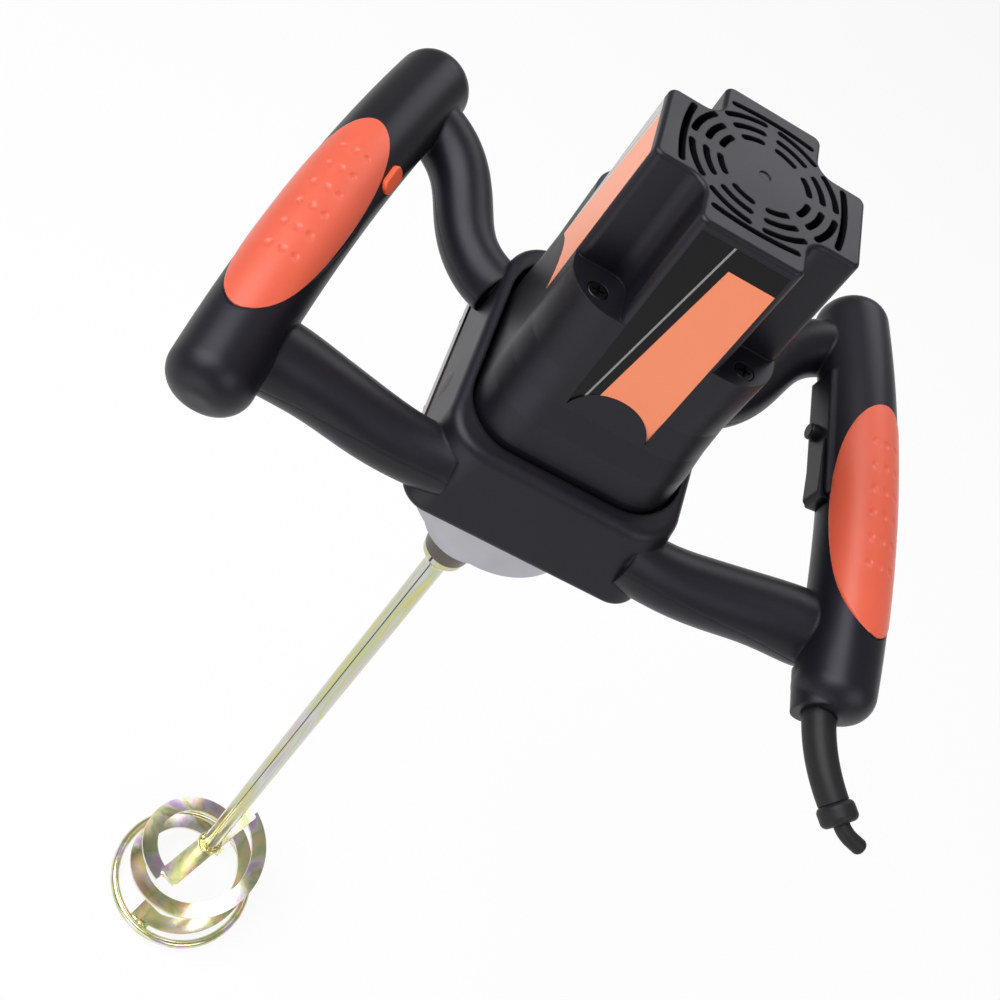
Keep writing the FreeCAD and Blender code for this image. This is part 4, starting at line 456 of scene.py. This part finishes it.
for side, node in ((1, "right_grip_pad"), (-1, "left_grip_pad")):
    pad = bpy.data.objects.new("dimpled_" + node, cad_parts[node].data.copy())
    bpy.context.scene.collection.objects.link(pad)
    smooth(pad, 30)
    let_out(pad, side)
    for turn in DIMPLE_ROWS:
        balls = []
        for number in range(DIMPLE_COUNT):
            along = DIMPLE_FIRST + number * DIMPLE_STEP
            bpy.ops.object.select_all(action="DESELECT")
            bpy.ops.mesh.primitive_uv_sphere_add(segments=40, ring_count=20, radius=BALL * MM,
                                                 location=over_grip(side, along, turn,
                                                                    PAD_RADIUS + BALL - DIMPLE_DEPTH))
            balls.append(bpy.context.object)
        pick(*balls)
        bpy.ops.object.join()
        row = bpy.context.object
        pick(pad)
        carve = pad.modifiers.new("dimples", "BOOLEAN")
        carve.operation = "DIFFERENCE"
        carve.object = row
        bpy.ops.object.modifier_apply(modifier=carve.name)
        bpy.data.objects.remove(row)
    smooth(pad, 30)
    pad.data.materials.clear()
    pad.data.materials.append(elastomer)
    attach(pad, "body")
    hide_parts(node)
    print(pad.name, "has", len(pad.data.polygons), "faces")

# %% [markdown]
# ## Screw bosses on the collar
# Four screws come up through the flange into the side walls of the collar. The solids leave too little wall
# at their tips, where the bores break out as small slits, so a low oval boss covers each of them here. A
# ball is flattened to that oval and cut with the bisect operator so that only its cap is left. The cap is
# leaned with the sloping wall once, and its four copies are turned with the tilted handles.

# %% Screw bosses
WALL_X, WALL_LEAN, BOSS_RISE = 59.32, math.atan(0.10), -25.6
BOSS_HALF, BOSS_PROUD, BOSS_ROOT = (6.0, 18.4, 21.0), 0.45, 0.9
FRAME_SCREWS = (("front", -20.0), ("back", 35.0))
BOSS_CUT = (BOSS_HALF[0] - BOSS_PROUD - BOSS_ROOT) * MM
bpy.ops.object.select_all(action="DESELECT")
bpy.ops.mesh.primitive_uv_sphere_add(segments=64, ring_count=64, radius=MM, scale=BOSS_HALF,
                                     location=(0.0, 0.0, 0.0))
cap = bpy.context.object
bpy.ops.object.transform_apply(location=True, rotation=True, scale=True)
bpy.ops.object.mode_set(mode="EDIT")
bpy.ops.mesh.select_all(action="SELECT")
bpy.ops.mesh.bisect(plane_co=(BOSS_CUT, 0.0, 0.0), plane_no=(1.0, 0.0, 0.0), use_fill=True, clear_inner=True)
bpy.ops.object.mode_set(mode="OBJECT")
cap.location = ((BOSS_PROUD - BOSS_HALF[0]) * MM, 0.0, 0.0)
bpy.ops.object.transform_apply(location=True, rotation=True, scale=True)
cap.rotation_euler = (0.0, -WALL_LEAN, 0.0)
bpy.ops.object.transform_apply(location=True, rotation=True, scale=True)
for side, name in ((1, "right"), (-1, "left")):
    for end, along in FRAME_SCREWS:
        boss = bpy.data.objects.new("screw_boss_%s_%s" % (name, end), cap.data.copy())
        bpy.context.scene.collection.objects.link(boss)
        pick(boss)
        boss.rotation_euler = (0.0, 0.0, 0.0 if side == 1 else math.pi)
        bpy.ops.object.transform_apply(location=True, rotation=True, scale=True)
        boss.rotation_euler = (TILT, 0.0, 0.0)
        boss.location = Vector((side * WALL_X, along * math.cos(TILT) - BOSS_RISE * math.sin(TILT),
                                HANDLE_Z + along * math.sin(TILT) + BOSS_RISE * math.cos(TILT))) * MM
        bpy.ops.object.transform_apply(location=True, rotation=True, scale=True)
        smooth(boss, 40)
        boss.data.materials.append(nylon)
        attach(boss, "body")
bpy.data.objects.remove(cap)
print("raised four bosses", BOSS_PROUD, "mm proud of the wall")

# %% [markdown]
# ## Weld beads on the paddle
# The paddle is cut from rod and strip and welded by hand: the shaft stands on the crossbar in a ring of
# weld, the ribbons hang under it and the lugs meet the bottom ring. A bead is a row of frozen ripples. A
# torus makes the ring and stretched balls make the short beads; a cloud texture of a few millimetres pushes
# their skin in and out, which is quicker than modelling each ripple and looks as uneven as handwork.

# %% Weld beads
WELD_RIPPLE, WELD_DEPTH, BEAD_RADIUS = 2.8 * MM, 1.6 * MM, 2.4 * MM
WELD_RING_Z, WELD_RING_RADIUS, WELD_RING_HALF = -780.4 * MM, 7.4 * MM, 2.5 * MM
# Each short bead: degrees round the spindle, mm from its axis, height in mm, stretch of the ball
SHORT_BEADS = ((237.0, 42.0, -786.0, (1.8, 1.0, 0.9)), (57.0, 42.0, -786.0, (1.8, 1.0, 0.9)),
               (248.0, 53.2, -865.0, (1.0, 3.4, 0.9)), (68.0, 53.2, -865.0, (1.0, 3.4, 0.9)))
ripple = bpy.data.textures.new("weld_ripple", "CLOUDS")
ripple.noise_scale = WELD_RIPPLE
beads = []
bpy.ops.object.select_all(action="DESELECT")
bpy.ops.mesh.primitive_torus_add(major_segments=96, minor_segments=20, major_radius=WELD_RING_RADIUS,
                                 minor_radius=WELD_RING_HALF, location=(0.0, SPINDLE_Y * MM, WELD_RING_Z))
beads.append(bpy.context.object)
for turn, radius, height, stretch in SHORT_BEADS:
    angle = math.radians(turn)
    bpy.ops.mesh.primitive_uv_sphere_add(segments=48, ring_count=32, radius=BEAD_RADIUS, scale=stretch,
                                         location=(radius * math.cos(angle) * MM,
                                                   (SPINDLE_Y + radius * math.sin(angle)) * MM, height * MM),
                                         rotation=(0.0, 0.0, angle))
    beads.append(bpy.context.object)
for number, bead in enumerate(beads):
    pick(bead)
    bpy.ops.object.transform_apply(location=True, rotation=True, scale=True)
    rough = bead.modifiers.new("ripple", "DISPLACE")
    rough.texture = ripple
    rough.strength = WELD_DEPTH
    bpy.ops.object.modifier_apply(modifier=rough.name)
    smooth(bead, 60)
    bead.name = "weld_bead_%d" % (number + 1)
    bead.data.materials.append(finishes["steel_weld_bead_yellow_passivated"])
    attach(bead, "spindle")
print("laid", len(beads), "weld beads")

# %% [markdown]
# ## A studio
# The photograph is a cut-out on white, lit softly from above. A pale floor lies just under the paddle. For
# the camera it is nearly white by itself, and it still takes a faint shadow. Four broad lamps, one of them
# behind the drill, give the plastic its long soft highlights; the world fills in the rest at a low level
# and is darker towards one corner, which keeps the faces that mirror it from turning grey.

# %% Floor and world
FLOOR_SIZE, FLOOR_GAP, FLOOR_GLOW = 12.0, 4 * MM, 0.88
DARK_CORNER, SKY_LIGHT, CORNER_LIGHT = (0.15, 0.55, 0.82), 0.36, 0.06
bpy.ops.object.select_all(action="DESELECT")
bpy.ops.mesh.primitive_plane_add(size=FLOOR_SIZE, location=(0.0, 0.0, cad_box[0][2] - FLOOR_GAP))
floor = bpy.context.object
floor.name = "studio_floor"
paper, tree, shader, place = new_material("paper_backdrop_matt_white", Base_Color=linear("#f4f4f4"),
                                          Roughness=0.9)
path = add_node(tree, "ShaderNodeLightPath", {}, {})
direct = add_node(tree, "ShaderNodeMath", {"operation": "MAXIMUM"},
                  {0: path.outputs["Is Camera Ray"], 1: path.outputs["Is Glossy Ray"]})
share = add_node(tree, "ShaderNodeMath", {"operation": "MULTIPLY"}, {0: direct.outputs[0], 1: FLOOR_GLOW})
glow = add_node(tree, "ShaderNodeEmission", {}, {"Color": (1.0, 1.0, 1.0, 1.0), "Strength": 1.0})
mixed = add_node(tree, "ShaderNodeMixShader", {},
                 {"Fac": share.outputs[0], 1: shader.outputs["BSDF"], 2: glow.outputs["Emission"]})
tree.links.new(mixed.outputs["Shader"], tree.nodes["Material Output"].inputs["Surface"])
floor.data.materials.append(paper)

world = bpy.data.worlds.new("studio")
bpy.context.scene.world = world
world.use_nodes = True
tree = world.node_tree
path = add_node(tree, "ShaderNodeLightPath", {}, {})
sky = tree.nodes["Background"]
sky.inputs["Color"].default_value = (1.0, 1.0, 1.0, 1.0)
heading = add_node(tree, "ShaderNodeTexCoord", {}, {})
corner = add_node(tree, "ShaderNodeVectorMath", {"operation": "DOT_PRODUCT"},
                  {0: heading.outputs["Generated"], 1: DARK_CORNER})
wall = add_node(tree, "ShaderNodeMapRange", {"interpolation_type": "SMOOTHSTEP"},
                {"Value": corner.outputs["Value"], "From Min": 0.85, "From Max": 0.97,
                 "To Min": SKY_LIGHT, "To Max": CORNER_LIGHT})
strength = add_node(tree, "ShaderNodeMath", {"operation": "MAXIMUM"},
                    {0: wall.outputs["Result"], 1: path.outputs["Is Camera Ray"]})
tree.links.new(strength.outputs[0], sky.inputs["Strength"])
print("floor at", round(floor.location.z, 4), "m")

# %% [markdown]
# ## Lamps
# Area lamps are aimed by pointing their own -Z axis at the tool. The largest is above and to the left of
# the picture, as the bright streaks on both grips show; a weaker one opens the shade on the right. A low
# one lights the front of the collar from below, and one behind draws light along the far edges.

# %% Lamps
aim = Vector((0.0, 0.0, -0.15))
for name, spot, size, power in (("key_lamp", (-0.95, -0.2, 1.4), 1.6, 42.0),
                                ("fill_lamp", (1.1, -1.2, 0.8), 1.2, 9.5),
                                ("low_lamp", (-0.6, -1.4, -0.5), 1.2, 6.0),
                                ("back_lamp", (0.55, 1.55, 1.25), 1.2, 11.0)):
    lamp = bpy.data.lights.new(name, "AREA")
    lamp.shape = "SQUARE"
    lamp.size = size
    lamp.energy = power
    holder = bpy.data.objects.new(name, lamp)
    bpy.context.scene.collection.objects.link(holder)
    holder.location = spot
    holder.rotation_euler = (aim - Vector(spot)).to_track_quat("-Z", "Y").to_euler()
print("four lamps aimed at", tuple(aim))

# %% [markdown]
# ## Camera
# The camera stands where the photograph was taken from: above the label side, rolled so that the paddle
# points to the lower left. Its place and its three axes were measured from the straight edges of the motor
# and the round rim of the paddle; the view is 1000 by 1000 pixels with a focal length of 1366 pixels.

# %% Camera
SENSOR_MM, FOCAL_PIXELS, PICTURE_PIXELS = 36.0, 1365.73, 1000.0
CAMERA_PLACE = (-0.135620, -0.453180, 0.269200)
lens = bpy.data.cameras.new("photo_camera")
lens.sensor_width = SENSOR_MM
lens.lens = SENSOR_MM * FOCAL_PIXELS / PICTURE_PIXELS
camera = bpy.data.objects.new("photo_camera", lens)
bpy.context.scene.collection.objects.link(camera)
right_axis = Vector((0.873301, 0.219952, 0.434703))
up_axis = Vector((-0.445683, 0.721052, 0.530519))
back_axis = Vector((-0.196755, -0.657042, 0.727724))
turned = Matrix((right_axis, up_axis, back_axis)).transposed()
camera.matrix_world = Matrix.Translation(CAMERA_PLACE) @ turned.to_4x4()
bpy.context.scene.camera = camera
bpy.context.scene.view_settings.view_transform = "Standard"
print("camera at", [round(c, 3) for c in camera.location])
